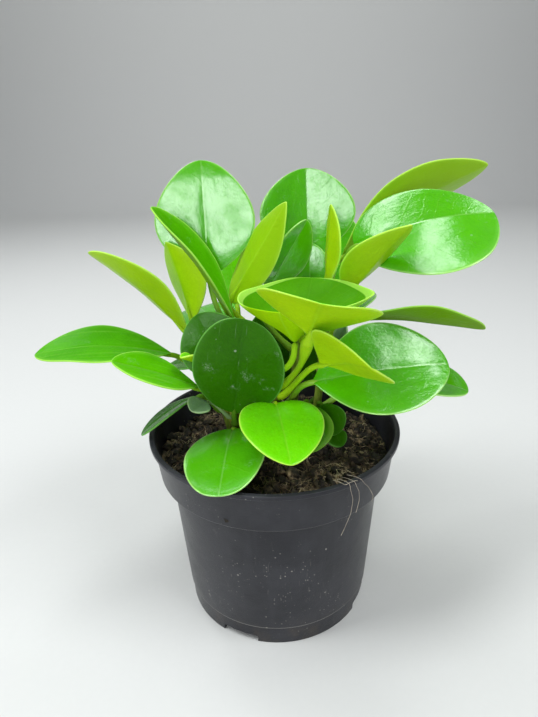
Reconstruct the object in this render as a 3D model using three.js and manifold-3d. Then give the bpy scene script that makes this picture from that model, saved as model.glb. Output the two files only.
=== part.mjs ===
// A peperomia in a 12 cm nursery pot: pot, potting soil, nine stems and their leaves.
// Millimetres, +Z up. The origin is the centre of the pot's underside, on the surface it stands on.
import * as THREE from "three";
import { mergeVertices } from "three/addons/utils/BufferGeometryUtils.js";
import Module from "manifold-3d";

const wasm = await Module();
wasm.setup();

// Pot
const rimRadius = 60;
const potHeight = 94;
const rimHeight = 2;
const rimOverhang = 1.8;
const wall = 1.4;
const collarDrop = 20;
const collarFootRadius = 56.2;
const shoulderDrop = 3;
const bodyTopRadius = 51.1;
const footStepRadius = 46.3;
const footStepHeight = 9.6;
const footRadius = 45.8;
const footWall = 2.4;
const floorHeight = 4;
const centrePadRadius = 13;
const notchCount = 4;
const notchWidth = 18;
const notchHeight = 3.6;
const notchTurn = 0.73;
const holeCount = 8;
const holeRadius = 4;
const holeCircle = 30;
const potSides = 36;

// Soil, stems and leaves
const gap = 0.3;
const soilCentreHeight = 83;
const soilEdgeHeight = 79;
const soilRipple = 1.1;
const stemRadius = 2.2;
const petioleRadius = 1.4;
const bladeThickness = 1.4;
const bladeColumns = 12;
const bladeRows = 9;
const funnelSpread = 8;

// Stems: points from the foot in the soil to the growing end
const stems = {
  front: [[3, -5, 70], [2, -7, 90], [1, -9, 119]],
  left_front: [[-14, -2, 70], [-17, -4, 88], [-20, -4, 106]],
  left: [[-18, 8, 70], [-24, 9, 95], [-28, 11, 125]],
  middle: [[-4, 7, 70], [-6, 9, 100], [-9, 11, 136]],
  back: [[7, 14, 70], [10, 19, 100], [15, 23, 139]],
  right: [[18, 5, 70], [22, 9, 100], [26, 12, 138]],
  low_right: [[14, -6, 70], [16, -7, 84], [17, -6, 104]],
  rear_left: [[-12, 25, 70], [-15, 30, 92], [-18, 36, 119]],
  rear_right: [[9, 29, 70], [12, 34, 92], [17, 41, 121]],
};

// Leaves: the stem and the height z that each grows from, the blade's heel and tip, the way
// its upper side faces, and its width. Angles are in degrees: cup lifts both side edges and
// curl bends the blade along its length. A swell above 1 puts the widest place nearer the tip,
// a blunt value under 1 squares off the heel or the tip, lean makes the right half wider and
// skew slides it towards the tip. lobes carries the blade back past its heel on both sides, and
// funnel draws it down to the stalk.
// joint is how far along the blade the leaf stalk meets it, and from is the side of the stem
// that the stalk leaves, where that isn't the side nearest the blade.
const leaves = [
  { name: "front_low_leaf", stem: "front", z: 102, heel: [1, -18, 113], tip: [6, -57, 106],
    faces: [0.05, -0.1, 1], width: 36, cup: 6, curl: 16, swell: 0.86, heelBlunt: 0.5,
    tipBlunt: 0.62, lobes: 6 },
  { name: "right_gloss_leaf", stem: "front", z: 106, from: [1, 0.1], heel: [17, -22, 125],
    tip: [76, -18, 130], faces: [0.1, -0.8, 0.9], width: 44, cup: 10, curl: 20, swell: 1 },
  { name: "funnel_leaf", stem: "front", z: 113, from: [1, -0.6], heel: [19, -31, 137],
    tip: [34, -62, 148], faces: [0.62, 0.25, 0.8], width: 39, cup: 8, curl: 20, swell: 1.4 },
  { name: "boat_leaf", stem: "front", z: 118, from: [1, -0.4], heel: [14, -36, 149],
    tip: [16, -68, 173], faces: [0.24, 0.5, 1], width: 45, cup: 9, curl: 24, swell: 1.9,
    heelBlunt: 1.15, tipBlunt: 0.36, fold: 1.4 },
  { name: "front_left_leaf", stem: "left_front", z: 88, heel: [-19, -13, 98], tip: [-22, -60, 95],
    faces: [-0.12, -0.25, 1], width: 35, cup: 4, curl: 20, swell: 1.05, heelBlunt: 0.5,
    tipBlunt: 0.4 },
  { name: "front_dark_leaf", stem: "left_front", z: 98, heel: [-18, -14, 107], tip: [-11, -25, 155],
    faces: [0, -1, 0.15], width: 40, cup: 4, curl: 8, swell: 1, heelBlunt: 0.5, tipBlunt: 0.36,
    skew: -1 },
  { name: "silver_leaf", stem: "left_front", z: 101, from: [-0.7, -1], heel: [-30, -14, 113],
    tip: [-36, -23, 113], faces: [-0.2, -0.8, 0.7], width: 12, cup: 10, curl: 16 },
  { name: "left_hidden_leaf", stem: "left_front", z: 104, from: [1, -0.3], heel: [-18, -6, 118],
    tip: [-33, 0, 150], faces: [0, -1, 0.3], width: 32, cup: 4, curl: 8 },
  { name: "left_hang_leaf", stem: "left", z: 98, heel: [-36, 0, 109], tip: [-62, -12, 95],
    faces: [-0.5, 0.05, 0.85], width: 20, cup: 5, curl: 24 },
  { name: "left_front_leaf", stem: "left", z: 104, from: [-0.2, -1], heel: [-33, -14, 120],
    tip: [-66, -28, 139], faces: [-0.1, -0.2, 1], width: 28, cup: 8, curl: 8 },
  { name: "left_low_leaf", stem: "left", z: 109, heel: [-48, 10, 127], tip: [-109, -2, 133],
    faces: [0, -0.2, 1], width: 34, cup: 8, curl: 30 },
  { name: "left_long_leaf", stem: "left", z: 115, heel: [-39, 8, 138], tip: [-78, 0, 179],
    faces: [0.2, 0.5, 0.85], width: 32, cup: 12, curl: 20 },
  { name: "curled_leaf", stem: "left_front", z: 105, from: [0.3, -1], heel: [-31, -14, 132],
    tip: [-39, -20, 137], faces: [0, 0.2, 1], width: 10, cup: 30, curl: 10 },
  { name: "left_small_leaf", stem: "left", z: 122, heel: [-37, 12, 142], tip: [-47, 15, 180],
    faces: [0.5, 0.8, 0.5], width: 27, cup: 20, curl: 10, tipBlunt: 0.8 },
  { name: "bowl_leaf", stem: "middle", z: 113, from: [0.4, -1], heel: [3, -42, 164],
    tip: [18, -5, 167], faces: [-0.04, 0, 1], width: 60, cup: 20, curl: -110, joint: 0.4, swell: 1,
    heelBlunt: 0.35, tipBlunt: 0.35, fold: 2.2, lean: 0.1, funnel: 10 },
  { name: "top_left_leaf", stem: "middle", z: 122, heel: [-29, 20, 162], tip: [-30, 28, 214],
    faces: [0, -1, 0.15], width: 47, cup: 4, curl: 4, swell: 0.95 },
  { name: "left_fold_leaf", stem: "middle", z: 128, heel: [-17, 8, 143], tip: [-49, 0, 197],
    faces: [0.85, -0.1, 0.4], width: 25, cup: 25, curl: 10 },
  { name: "up_yellow_leaf", stem: "middle", z: 134, from: [0, 1], heel: [-19, 14, 151],
    tip: [8, 5, 197], faces: [0.9, 0.5, 0.1], width: 26, cup: 15, curl: 4, swell: 0.9,
    heelBlunt: 0.55, tipBlunt: 0.8, lean: 0.2 },
  { name: "up_dark_leaf", stem: "back", z: 124, heel: [-4, 17, 153], tip: [17, 16, 188],
    faces: [0.75, -0.6, 0.3], width: 24, cup: 16, curl: 8 },
  { name: "up_narrow_leaf", stem: "back", z: 129, heel: [26, 8, 158], tip: [27, 10, 195],
    faces: [0.97, 0.2, 0.1], width: 22, cup: 10, curl: 4, tipBlunt: 0.7 },
  { name: "top_centre_leaf", stem: "back", z: 133, heel: [19, 30, 166], tip: [18, 34, 209],
    faces: [0, -1, 0.1], width: 46, cup: 6, curl: 6, swell: 1.1 },
  { name: "up_shade_leaf", stem: "back", z: 137, from: [0.4, -1], heel: [19, 21, 150],
    tip: [19, 24, 176], faces: [0, -1, 0.3], width: 20, cup: 6, curl: 8 },
  { name: "right_long_leaf", stem: "right", z: 111, from: [1, -0.6], heel: [38, 0, 147],
    tip: [94, -8, 142], faces: [0, 0.42, 0.9], width: 38, cup: 10, curl: 8 },
  { name: "bud_leaf", stem: "right", z: 117, from: [-0.3, -1], heel: [30, -4, 134],
    tip: [33, -6, 145], faces: [0, -0.5, 1], width: 8, cup: 30, curl: 10 },
  { name: "right_near_leaf", stem: "right", z: 124, from: [0.2, -1], heel: [34, -5, 161],
    tip: [55, -21, 190], faces: [-0.6, 0.8, 0.8], width: 31, cup: 16, curl: 0, swell: 0.9,
    heelBlunt: 0.55, tipBlunt: 0.8 },
  { name: "right_big_leaf", stem: "right", z: 129, from: [1, 0], heel: [40, 20, 175],
    tip: [97, 5, 190], faces: [-0.1, -0.9, 0.9], width: 48, cup: 10, curl: 40, swell: 1,
    heelBlunt: 0.5, lean: 0.3, skew: 8 },
  { name: "right_top_leaf", stem: "right", z: 135, heel: [35, 32, 167], tip: [98, 21, 209],
    faces: [-0.6, 0.9, 0.6], width: 37, cup: 15, curl: 25, swell: 1.15, tipBlunt: 0.66 },
  { name: "low_small_leaf", stem: "low_right", z: 86, heel: [26, -12, 96], tip: [31, -18, 90],
    faces: [0.3, -0.6, 0.7], width: 11, cup: 6, curl: 16 },
  { name: "low_shade_leaf", stem: "low_right", z: 92, heel: [22, -10, 108], tip: [29, -17, 96],
    faces: [0.3, -0.8, 0.6], width: 16, cup: 6, curl: 16, heelBlunt: 0.6 },
  { name: "low_dark_leaf", stem: "low_right", z: 96, from: [-0.5, -1], heel: [15, -16.5, 112],
    tip: [14.5, -31, 95], faces: [0.15, -0.8, 0.6], width: 23, cup: 6, curl: 16, swell: 1,
    heelBlunt: 0.6 },
  { name: "right_behind_leaf", stem: "low_right", z: 102, heel: [58, -5, 119], tip: [86, -18, 116],
    faces: [0.2, -0.3, 1], width: 26, cup: 8, curl: 20 },
  { name: "inner_left_leaf", stem: "rear_left", z: 84, from: [1, 0], heel: [1, 32, 96],
    tip: [1, 34, 143], faces: [0, -1, 0.2], width: 34, cup: 4, curl: 8, swell: 1 },
  { name: "inner_right_leaf", stem: "back", z: 88, from: [1, 0.3], heel: [25, 27, 98],
    tip: [26, 29, 136], faces: [0, -1, 0.2], width: 34, cup: 4, curl: 8, swell: 1 },
  { name: "rear_side_leaf", stem: "rear_left", z: 106, heel: [-29, 33, 112], tip: [-60, 48, 104],
    faces: [-0.3, 0.1, 1], width: 30, cup: 8, curl: 20 },
  { name: "rear_low_leaf", stem: "rear_left", z: 101, heel: [-12, 47, 108], tip: [-8, 88, 98],
    faces: [0, 0.3, 1], width: 36, cup: 6, curl: 20 },
  { name: "rear_left_leaf", stem: "rear_left", z: 112, heel: [-26, 47, 122], tip: [-44, 84, 128],
    faces: [-0.2, 0.2, 1], width: 38, cup: 10, curl: 24 },
  { name: "rear_upright_leaf", stem: "rear_left", z: 117, heel: [-18, 48, 139], tip: [-24, 66, 182],
    faces: [0.1, -0.8, 0.5], width: 36, cup: 10, curl: -14 },
  { name: "rear_right_low_leaf", stem: "rear_right", z: 101, heel: [31, 43, 108],
    tip: [62, 58, 104], faces: [0.2, 0.1, 1], width: 32, cup: 6, curl: 18 },
  { name: "rear_centre_leaf", stem: "rear_right", z: 106, heel: [16, 55, 119], tip: [14, 94, 130],
    faces: [0, 0.2, 1], width: 36, cup: 10, curl: 26 },
  { name: "rear_right_leaf", stem: "rear_right", z: 112, heel: [29, 50, 126], tip: [56, 78, 138],
    faces: [0.2, 0.2, 1], width: 36, cup: 10, curl: 24 },
  { name: "rear_top_leaf", stem: "rear_right", z: 117, from: [0.6, 1], heel: [23, 49, 141],
    tip: [40, 62, 184], faces: [-0.2, -0.8, 0.5], width: 38, cup: 8, curl: -12 },
];

const leafDefaults = { cup: 10, curl: 10, swell: 1.12, heelBlunt: 0.85, tipBlunt: 0.55,
  joint: 0, fold: 1.3, lean: 0, skew: 0, lobes: 0, funnel: 0 };

const materials = {
  pot: new THREE.MeshStandardMaterial({ color: 0x2b2a2d, roughness: 0.45, metalness: 0 }),
  soil: new THREE.MeshStandardMaterial({ color: 0x2e1d14, roughness: 1, metalness: 0 }),
  stem: new THREE.MeshStandardMaterial({ color: 0x8f9a2a, roughness: 0.5, metalness: 0 }),
  leaf: new THREE.MeshStandardMaterial({ color: 0x4f9a12, roughness: 0.25, metalness: 0 }),
};

// Solids: join and cut
function solidOf(geometry) {
  const bare = geometry.clone();
  bare.deleteAttribute("normal");
  bare.deleteAttribute("uv");
  const merged = mergeVertices(bare, 1e-4);
  const mesh = new wasm.Mesh({
    numProp: 3,
    vertProperties: new Float32Array(merged.attributes.position.array),
    triVerts: new Uint32Array(merged.index.array),
  });
  mesh.merge();
  return new wasm.Manifold(mesh);
}

function geometryOf(solid) {
  const mesh = solid.getMesh();
  const geometry = new THREE.BufferGeometry();
  geometry.setAttribute("position", new THREE.BufferAttribute(mesh.vertProperties, 3));
  geometry.setIndex(new THREE.BufferAttribute(mesh.triVerts, 1));
  geometry.computeVertexNormals();
  return geometry;
}

function lathe(points, sides) {
  const profile = points.map(([r, z]) => new THREE.Vector2(r, z));
  const geometry = new THREE.LatheGeometry(profile, sides);
  geometry.rotateX(Math.PI / 2);
  return geometry;
}

// A round tube along a curve, closed at both ends
function tube(curve, radius, sides, steps) {
  const section = new THREE.Shape();
  section.absarc(0, 0, radius, 0, 2 * Math.PI, false);
  return new THREE.ExtrudeGeometry(section, {
    steps,
    curveSegments: sides / 2,
    extrudePath: curve,
  });
}

function vector(point) {
  return new THREE.Vector3(...point);
}

function radians(degrees) {
  return THREE.MathUtils.degToRad(degrees);
}

// Pot: lip, collar, shoulder, tapering body, foot band with drainage notches and holes
const collarFootHeight = potHeight - collarDrop;
const shoulderHeight = collarFootHeight - shoulderDrop;
const bodyInnerTop = bodyTopRadius - wall;
const bodyInnerFoot = footStepRadius - wall;
const floorTop = floorHeight + wall;

function potGeometry() {
  const outside = [
    [0, 0], [centrePadRadius, 0], [centrePadRadius + 1, floorHeight],
    [footRadius - footWall, floorHeight], [footRadius - footWall, 0], [footRadius, 0],
    [footStepRadius, footStepHeight], [footStepRadius + 0.5, footStepHeight + 0.6],
    [bodyTopRadius, shoulderHeight], [collarFootRadius - 1, collarFootHeight - 0.4],
    [collarFootRadius, collarFootHeight],
    [rimRadius - rimOverhang, potHeight - rimHeight - 0.4],
    [rimRadius, potHeight - rimHeight], [rimRadius, potHeight - 0.4], [rimRadius - 0.5, potHeight],
  ];
  const inside = [
    [rimRadius - rimHeight - 0.4, potHeight], [rimRadius - rimOverhang - wall, potHeight - 0.5],
    [collarFootRadius - wall, collarFootHeight + 0.5], [bodyInnerTop, shoulderHeight + 0.6],
    [bodyInnerFoot, floorTop + 1], [bodyInnerFoot - 1, floorTop],
    [centrePadRadius - wall, floorTop], [centrePadRadius - wall - 1, wall], [0, wall],
  ];
  let pot = solidOf(lathe([...outside, ...inside], potSides));
  for (let i = 0; i < notchCount; i++) {
    const notch = new THREE.BoxGeometry(4 * footWall, notchWidth, 2 * notchHeight);
    notch.translate(footRadius - footWall, 0, 0);
    notch.rotateZ((2 * Math.PI * (i + notchTurn)) / notchCount);
    pot = pot.subtract(solidOf(notch));
  }
  for (let i = 0; i < holeCount; i++) {
    const hole = new THREE.CylinderGeometry(holeRadius, holeRadius, 4 * floorHeight, 12);
    hole.rotateX(Math.PI / 2);
    hole.translate(holeCircle, 0, floorHeight);
    hole.rotateZ((2 * Math.PI * (i + 0.5)) / holeCount);
    pot = pot.subtract(solidOf(hole));
  }
  return geometryOf(pot);
}

// Stems
function stemCurve(name) {
  return new THREE.CatmullRomCurve3(stems[name].map(vector));
}

function stemGeometry(name) {
  return tube(stemCurve(name), stemRadius, 8, 6);
}

// Soil: fills the pot to below the rim, gently uneven on top, open round each stem
function soilHeight(x, y) {
  const reach = Math.hypot(x, y) / collarFootRadius;
  const level = soilCentreHeight + (soilEdgeHeight - soilCentreHeight) * reach * reach;
  return level + soilRipple * Math.sin(0.23 * x + 0.6) * Math.cos(0.19 * y - 0.4);
}

function soilGeometry() {
  const floor = floorTop + gap;
  const slope = (bodyInnerTop - bodyInnerFoot) / (shoulderHeight - floorTop);
  const collarSlope = (rimRadius - rimOverhang - collarFootRadius) / (collarDrop - rimHeight);
  const edgeRadius = collarFootRadius - wall + collarSlope * (soilEdgeHeight - collarFootHeight);
  const profile = [
    [0, floor], [bodyInnerFoot - 2 * gap - 1, floor],
    [bodyInnerFoot - 2 * gap + slope, floor + 2], [bodyInnerTop - 2 * gap, shoulderHeight + 1],
    [collarFootRadius - wall - 2 * gap, collarFootHeight + 1.5],
    [edgeRadius - 3 * gap, soilEdgeHeight - 2],
  ];
  const rings = 5;
  for (let i = 0; i <= rings; i++) {
    profile.push([(edgeRadius - 3 * gap) * (1 - i / rings), soilEdgeHeight]);
  }
  const geometry = lathe(profile, potSides);
  const position = geometry.attributes.position;
  for (let i = 0; i < position.count; i++) {
    if (position.getZ(i) > soilEdgeHeight - 0.01) {
      position.setZ(i, soilHeight(position.getX(i), position.getY(i)));
    }
  }
  let soil = solidOf(geometry);
  for (const name of Object.keys(stems)) {
    const points = stems[name].map(vector);
    points[0].addScaledVector(stemCurve(name).getTangent(0), -gap);
    const hole = new THREE.CatmullRomCurve3(points);
    soil = soil.subtract(solidOf(tube(hole, stemRadius + gap, 8, 6)));
  }
  return geometryOf(soil);
}

// The middle line of a blade: an arc from heel to tip, with its direction and upper side
function middle(leaf, s) {
  const heel = vector(leaf.heel);
  const chord = vector(leaf.tip).sub(heel);
  const length = chord.length();
  const along = chord.clone().normalize();
  const up = vector(leaf.faces);
  up.addScaledVector(along, -up.dot(along)).normalize();
  const bend = radians(leaf.curl);
  const half = bend / 2;
  const angle = half - bend * s;
  const scale = Math.abs(bend) < 0.001 ? 0 : length / (2 * Math.sin(half));
  const forward = scale === 0 ? length * s : scale * (Math.sin(half) - Math.sin(angle));
  const rise = scale * (Math.cos(angle) - Math.cos(half));
  return {
    point: heel.addScaledVector(along, forward).addScaledVector(up, rise),
    along: along.clone().multiplyScalar(Math.cos(angle)).addScaledVector(up, Math.sin(angle)),
    up: up.clone().multiplyScalar(Math.cos(angle)).addScaledVector(along, -Math.sin(angle)),
  };
}

// A point of the blade's middle surface: s runs from heel to tip, v from side to side
function bladePoint(leaf, s, v) {
  const { point, along, up } = middle(leaf, s);
  const across = new THREE.Vector3().crossVectors(along, up);
  const power = leaf.heelBlunt * (1 - s) + leaf.tipBlunt * s;
  const outline = Math.max(0, Math.sin(Math.PI * s ** leaf.swell)) ** power;
  const sideWidth = (leaf.width / 2) * (1 + leaf.lean * v);
  const reach = Math.abs(v) * outline;
  const cup = radians(leaf.cup);
  point.addScaledVector(across, v * outline * sideWidth * Math.cos(cup));
  point.addScaledVector(up, sideWidth * Math.sin(cup) * reach ** leaf.fold);
  point.addScaledVector(along, leaf.skew * v * outline);
  point.addScaledVector(along, -leaf.lobes * reach * (1 - s) ** 2);
  const joint = middle(leaf, leaf.joint);
  const away = point.clone().sub(joint.point);
  away.addScaledVector(joint.up, -away.dot(joint.up));
  const sink = leaf.funnel * Math.exp(-away.length() / funnelSpread);
  return point.addScaledVector(joint.up, -sink);
}

// A blade: a sphere flattened to the blade's thickness and bent to its middle surface
function bladeGeometry(leaf) {
  const geometry = new THREE.SphereGeometry(1, bladeColumns, bladeRows);
  const position = geometry.attributes.position;
  const step = 0.01;
  for (let i = 0; i < position.count; i++) {
    const s = (1 - position.getY(i)) / 2;
    const ring = Math.hypot(position.getX(i), position.getZ(i));
    const v = ring < 1e-6 ? 0 : position.getX(i) / ring;
    const side = ring < 1e-6 ? 0 : position.getZ(i) / ring;
    const s0 = THREE.MathUtils.clamp(s, 2 * step, 1 - 2 * step);
    const v0 = 0.9 * v;
    const ds = bladePoint(leaf, s0 + step, v0).sub(bladePoint(leaf, s0 - step, v0));
    const dv = bladePoint(leaf, s0, v0 + step).sub(bladePoint(leaf, s0, v0 - step));
    const normal = ds.cross(dv).normalize();
    const point = bladePoint(leaf, s, v);
    point.addScaledVector(normal, side * Math.min(1, 2 * ring) * (bladeThickness / 2));
    position.setXYZ(i, point.x, point.y, point.z);
  }
  return geometry;
}

// The point of a stem at height z
function stemPoint(name, z) {
  const curve = stemCurve(name);
  let low = 0;
  let high = 1;
  for (let i = 0; i < 20; i++) {
    const half = (low + high) / 2;
    if (curve.getPoint(half).z < z) low = half;
    else high = half;
  }
  return curve.getPoint(low);
}

// A leaf stalk: from just clear of the stem to the underside of the blade
function petioleGeometry(leaf) {
  const axis = stemPoint(leaf.stem, leaf.z);
  const joint = middle(leaf, leaf.joint);
  const end = bladePoint(leaf, leaf.joint, 0).addScaledVector(joint.up, -0.5);
  const outward = end.clone().sub(axis).setZ(0);
  if (leaf.from) outward.set(leaf.from[0], leaf.from[1], 0);
  outward.normalize();
  const radius = petioleRadius * (leaf.width < 15 ? 0.6 : 1);
  const start = axis.addScaledVector(outward, stemRadius + gap + 0.7 * radius);
  const reach = start.distanceTo(end);
  const leave = outward.clone().multiplyScalar(0.7).setZ(0.7).normalize();
  const route = new THREE.CubicBezierCurve3(
    start,
    start.clone().addScaledVector(leave, 0.35 * reach),
    end.clone().addScaledVector(leaf.funnel ? joint.up : joint.along, -0.3 * reach),
    end,
  ).getPoints(4);
  route.push(bladePoint(leaf, leaf.joint + 0.07, 0).addScaledVector(joint.up, -0.2));
  return tube(new THREE.CatmullRomCurve3(route), radius, 6, 5);
}

function leafGeometry(row) {
  const leaf = { ...leafDefaults, ...row };
  const blade = solidOf(bladeGeometry(leaf));
  return geometryOf(blade.add(solidOf(petioleGeometry(leaf))));
}

const plant = new THREE.Group();

function place(name, geometry, material) {
  const mesh = new THREE.Mesh(geometry, material);
  mesh.name = name;
  plant.add(mesh);
}

place("nursery_pot", potGeometry(), materials.pot);
place("potting_soil", soilGeometry(), materials.soil);
for (const name of Object.keys(stems)) {
  place(`${name}_stem`, stemGeometry(name), materials.stem);
}
for (const leaf of leaves) {
  place(leaf.name, leafGeometry(leaf), materials.leaf);
}

export default plant;
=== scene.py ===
import math
from random import Random

import bmesh
import bpy
from mathutils import Euler, Matrix, Vector, noise


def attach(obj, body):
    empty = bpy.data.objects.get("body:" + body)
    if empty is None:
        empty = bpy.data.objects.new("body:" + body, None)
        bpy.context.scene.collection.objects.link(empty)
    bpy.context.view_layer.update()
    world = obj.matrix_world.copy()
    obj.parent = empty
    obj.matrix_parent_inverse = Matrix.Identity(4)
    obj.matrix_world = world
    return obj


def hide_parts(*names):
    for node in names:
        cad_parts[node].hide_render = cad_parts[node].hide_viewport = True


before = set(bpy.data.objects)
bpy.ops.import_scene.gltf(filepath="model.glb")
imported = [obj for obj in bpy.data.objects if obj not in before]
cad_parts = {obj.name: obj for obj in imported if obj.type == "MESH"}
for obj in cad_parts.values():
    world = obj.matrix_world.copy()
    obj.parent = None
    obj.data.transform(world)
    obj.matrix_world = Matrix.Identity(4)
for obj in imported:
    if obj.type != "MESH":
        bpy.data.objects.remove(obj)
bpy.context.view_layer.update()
scene = bpy.context.scene
print("frame loaded:", len(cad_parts), "nodes")


# camera: fitted to the pot's rim and foot, for a picture of 538 x 717 pixels
cameraSetup = {
    "place": (0.0, -0.2319, 0.2217),
    "pitchDown": 22.13,
    "pan": -0.38,
    "roll": -1.66,
    "focalPixels": 538,
    "longSidePixels": 717,
    "sensor": 36.0,
    "nearest": 0.01,
}


def makeCamera(setup):
    data = bpy.data.cameras.new("photoCamera")
    data.sensor_width = setup["sensor"]
    data.lens = setup["sensor"] * setup["focalPixels"] / setup["longSidePixels"]
    data.clip_start = setup["nearest"]
    camera = bpy.data.objects.new("photoCamera", data)
    turn = Matrix.Rotation(math.radians(-setup["pan"]), 4, "Z")
    tilt = Matrix.Rotation(math.radians(90 - setup["pitchDown"]), 4, "X")
    roll = Matrix.Rotation(math.radians(setup["roll"]), 4, "Z")
    camera.matrix_world = Matrix.Translation(setup["place"]) @ turn @ tilt @ roll
    scene.collection.objects.link(camera)
    scene.camera = camera


makeCamera(cameraSetup)


# light: a window-like box behind the camera, four high around the plant, one for the backdrop
lightBoxes = {
    "window": {"place": (-0.22, -1.25, 0.44), "size": (0.52, 0.46), "watts": 6.8},
    "highRight": {"place": (0.56, -0.35, 1.00), "size": (0.60, 0.36), "watts": 6.0},
    "highLeft": {"place": (-0.61, -0.20, 1.11), "size": (0.36, 0.84), "watts": 9.2},
    "zenith": {"place": (-0.075, 0.113, 1.28), "size": (0.34, 0.30), "watts": 2.2},
    "rearLeft": {"place": (-0.54, 0.69, 0.90), "size": (0.25, 0.35), "watts": 1.8},
    "backdrop": {"place": (0, 0.70, 1.50), "size": (1.80, 0.40), "watts": 11.0, "aim": (0, 1.9, 0.5)},
}
lightSetup = {
    "aim": (0, 0, 0.15),
    "coolTint": (0.94, 0.985, 1.0),
    "worldColour": (0.80, 0.86, 0.95),
    "worldStrength": 0.14,
}


def makeLight(name, row):
    data = bpy.data.lights.new(name, "AREA")
    data.shape = "RECTANGLE"
    data.size, data.size_y = row["size"]
    data.energy = row["watts"]
    data.color = lightSetup["coolTint"]
    light = bpy.data.objects.new(name, data)
    look = Vector(row.get("aim", lightSetup["aim"])) - Vector(row["place"])
    turn = look.to_track_quat("-Z", "Y").to_matrix().to_4x4()
    light.matrix_world = Matrix.Translation(row["place"]) @ turn
    scene.collection.objects.link(light)


for lightName, lightRow in lightBoxes.items():
    makeLight(lightName, lightRow)

world = bpy.data.worlds.new("studio")
scene.world = world
world.use_nodes = True
sky = world.node_tree.nodes["Background"].inputs
sky["Color"].default_value = (*lightSetup["worldColour"], 1)
sky["Strength"].default_value = lightSetup["worldStrength"]
scene.view_settings.view_transform = "Standard"
print("camera and lights placed")


# node helpers
def addNode(tree, kind, inputs=None, **settings):
    node = tree.nodes.new(kind)
    for key, value in settings.items():
        setattr(node, key, value)
    for key, value in (inputs or {}).items():
        if isinstance(value, bpy.types.NodeSocket):
            tree.links.new(value, node.inputs[key])
        else:
            node.inputs[key].default_value = value
    return node


def sums(tree, operation, a, b=0.0, c=0.0):
    return addNode(tree, "ShaderNodeMath", {0: a, 1: b, 2: c}, operation=operation).outputs[0]


def mixed(tree, factor, a, b):
    # colours given as three numbers get their alpha here
    a = (*a, 1) if isinstance(a, tuple) else a
    b = (*b, 1) if isinstance(b, tuple) else b
    inputs = {0: factor, 6: a, 7: b}
    return addNode(tree, "ShaderNodeMix", inputs, data_type="RGBA").outputs[2]


def mapped(tree, value, fromLow, fromHigh, toLow=0.0, toHigh=1.0):
    inputs = {"Value": value, "From Min": fromLow, "From Max": fromHigh}
    inputs |= {"To Min": toLow, "To Max": toHigh}
    node = addNode(tree, "ShaderNodeMapRange", inputs, interpolation_type="SMOOTHSTEP")
    return node.outputs["Result"]


def noiseAt(tree, vector, scale, detail=3.0, roughness=0.5):
    inputs = {"Vector": vector, "Scale": scale, "Detail": detail, "Roughness": roughness}
    return addNode(tree, "ShaderNodeTexNoise", inputs).outputs["Fac"]


def stretched(tree, vector, scale):
    return addNode(tree, "ShaderNodeMapping", {"Vector": vector, "Scale": scale}).outputs["Vector"]


def makeGroup(name, inputs, outputs):
    group = bpy.data.node_groups.new(name, "ShaderNodeTree")
    for label, kind, value in inputs:
        socket = group.interface.new_socket(label, in_out="INPUT", socket_type=kind)
        if kind == "NodeSocketFloat":
            socket.default_value = value
    for label in outputs:
        group.interface.new_socket(label, in_out="OUTPUT", socket_type="NodeSocketFloat")
    start = group.nodes.new("NodeGroupInput")
    end = group.nodes.new("NodeGroupOutput")
    return group, start.outputs, end.inputs


def useGroup(tree, group, inputs):
    return addNode(tree, "ShaderNodeGroup", inputs, node_tree=group).outputs


def newMaterial(name):
    material = bpy.data.materials.new(name)
    material.use_nodes = True
    tree = material.node_tree
    return material, tree, tree.nodes["Principled BSDF"]


# shared effects
def makeCloudGroup():
    # soft patches: 0 outside, 1 inside
    inputs = [("Vector", "NodeSocketVector", None), ("Scale", "NodeSocketFloat", 50.0)]
    inputs += [("Low", "NodeSocketFloat", 0.4), ("High", "NodeSocketFloat", 0.6)]
    group, start, end = makeGroup("softPatches", inputs, ["Mask"])
    cloud = noiseAt(group, start["Vector"], start["Scale"], 5.0, 0.6)
    group.links.new(mapped(group, cloud, start["Low"], start["High"]), end["Mask"])
    return group


def makeSpeckGroup():
    # scattered round specks of many sizes; Amount is how many cells hold one
    inputs = [("Vector", "NodeSocketVector", None), ("Scale", "NodeSocketFloat", 300.0)]
    inputs += [("Size", "NodeSocketFloat", 0.2), ("Amount", "NodeSocketFloat", 0.3)]
    group, start, end = makeGroup("specks", inputs, ["Mask"])
    inputs = {"Vector": start["Vector"], "Scale": start["Scale"]}
    cells = addNode(group, "ShaderNodeTexVoronoi", inputs)
    chance = addNode(group, "ShaderNodeSeparateColor", {"Color": cells.outputs["Color"]}).outputs
    reach = sums(group, "MULTIPLY", start["Size"], chance["Green"])
    inside = sums(group, "SUBTRACT", reach, cells.outputs["Distance"])
    spot = mapped(group, inside, 0.0, 0.08)
    kept = sums(group, "LESS_THAN", chance["Red"], start["Amount"])
    group.links.new(sums(group, "MULTIPLY", spot, kept), end["Mask"])
    return group


def makeReliefGroup():
    # height of a fine skin or moulded grain over a slower unevenness
    inputs = [("Vector", "NodeSocketVector", None), ("Fine", "NodeSocketFloat", 1200.0)]
    inputs += [("Broad", "NodeSocketFloat", 200.0), ("Blend", "NodeSocketFloat", 0.5)]
    group, start, end = makeGroup("skinRelief", inputs, ["Height"])
    fine = noiseAt(group, start["Vector"], start["Fine"], 2.0, 0.5)
    broad = noiseAt(group, start["Vector"], start["Broad"], 3.0, 0.55)
    rest = sums(group, "SUBTRACT", 1.0, start["Blend"])
    broad = sums(group, "MULTIPLY", broad, start["Blend"])
    height = sums(group, "MULTIPLY_ADD", fine, rest, broad)
    group.links.new(height, end["Height"])
    return group


cloudGroup = makeCloudGroup()
speckGroup = makeSpeckGroup()
reliefGroup = makeReliefGroup()


def cloudMask(tree, vector, scale, low, high):
    inputs = {"Vector": vector, "Scale": scale, "Low": low, "High": high}
    return useGroup(tree, cloudGroup, inputs)["Mask"]


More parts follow.
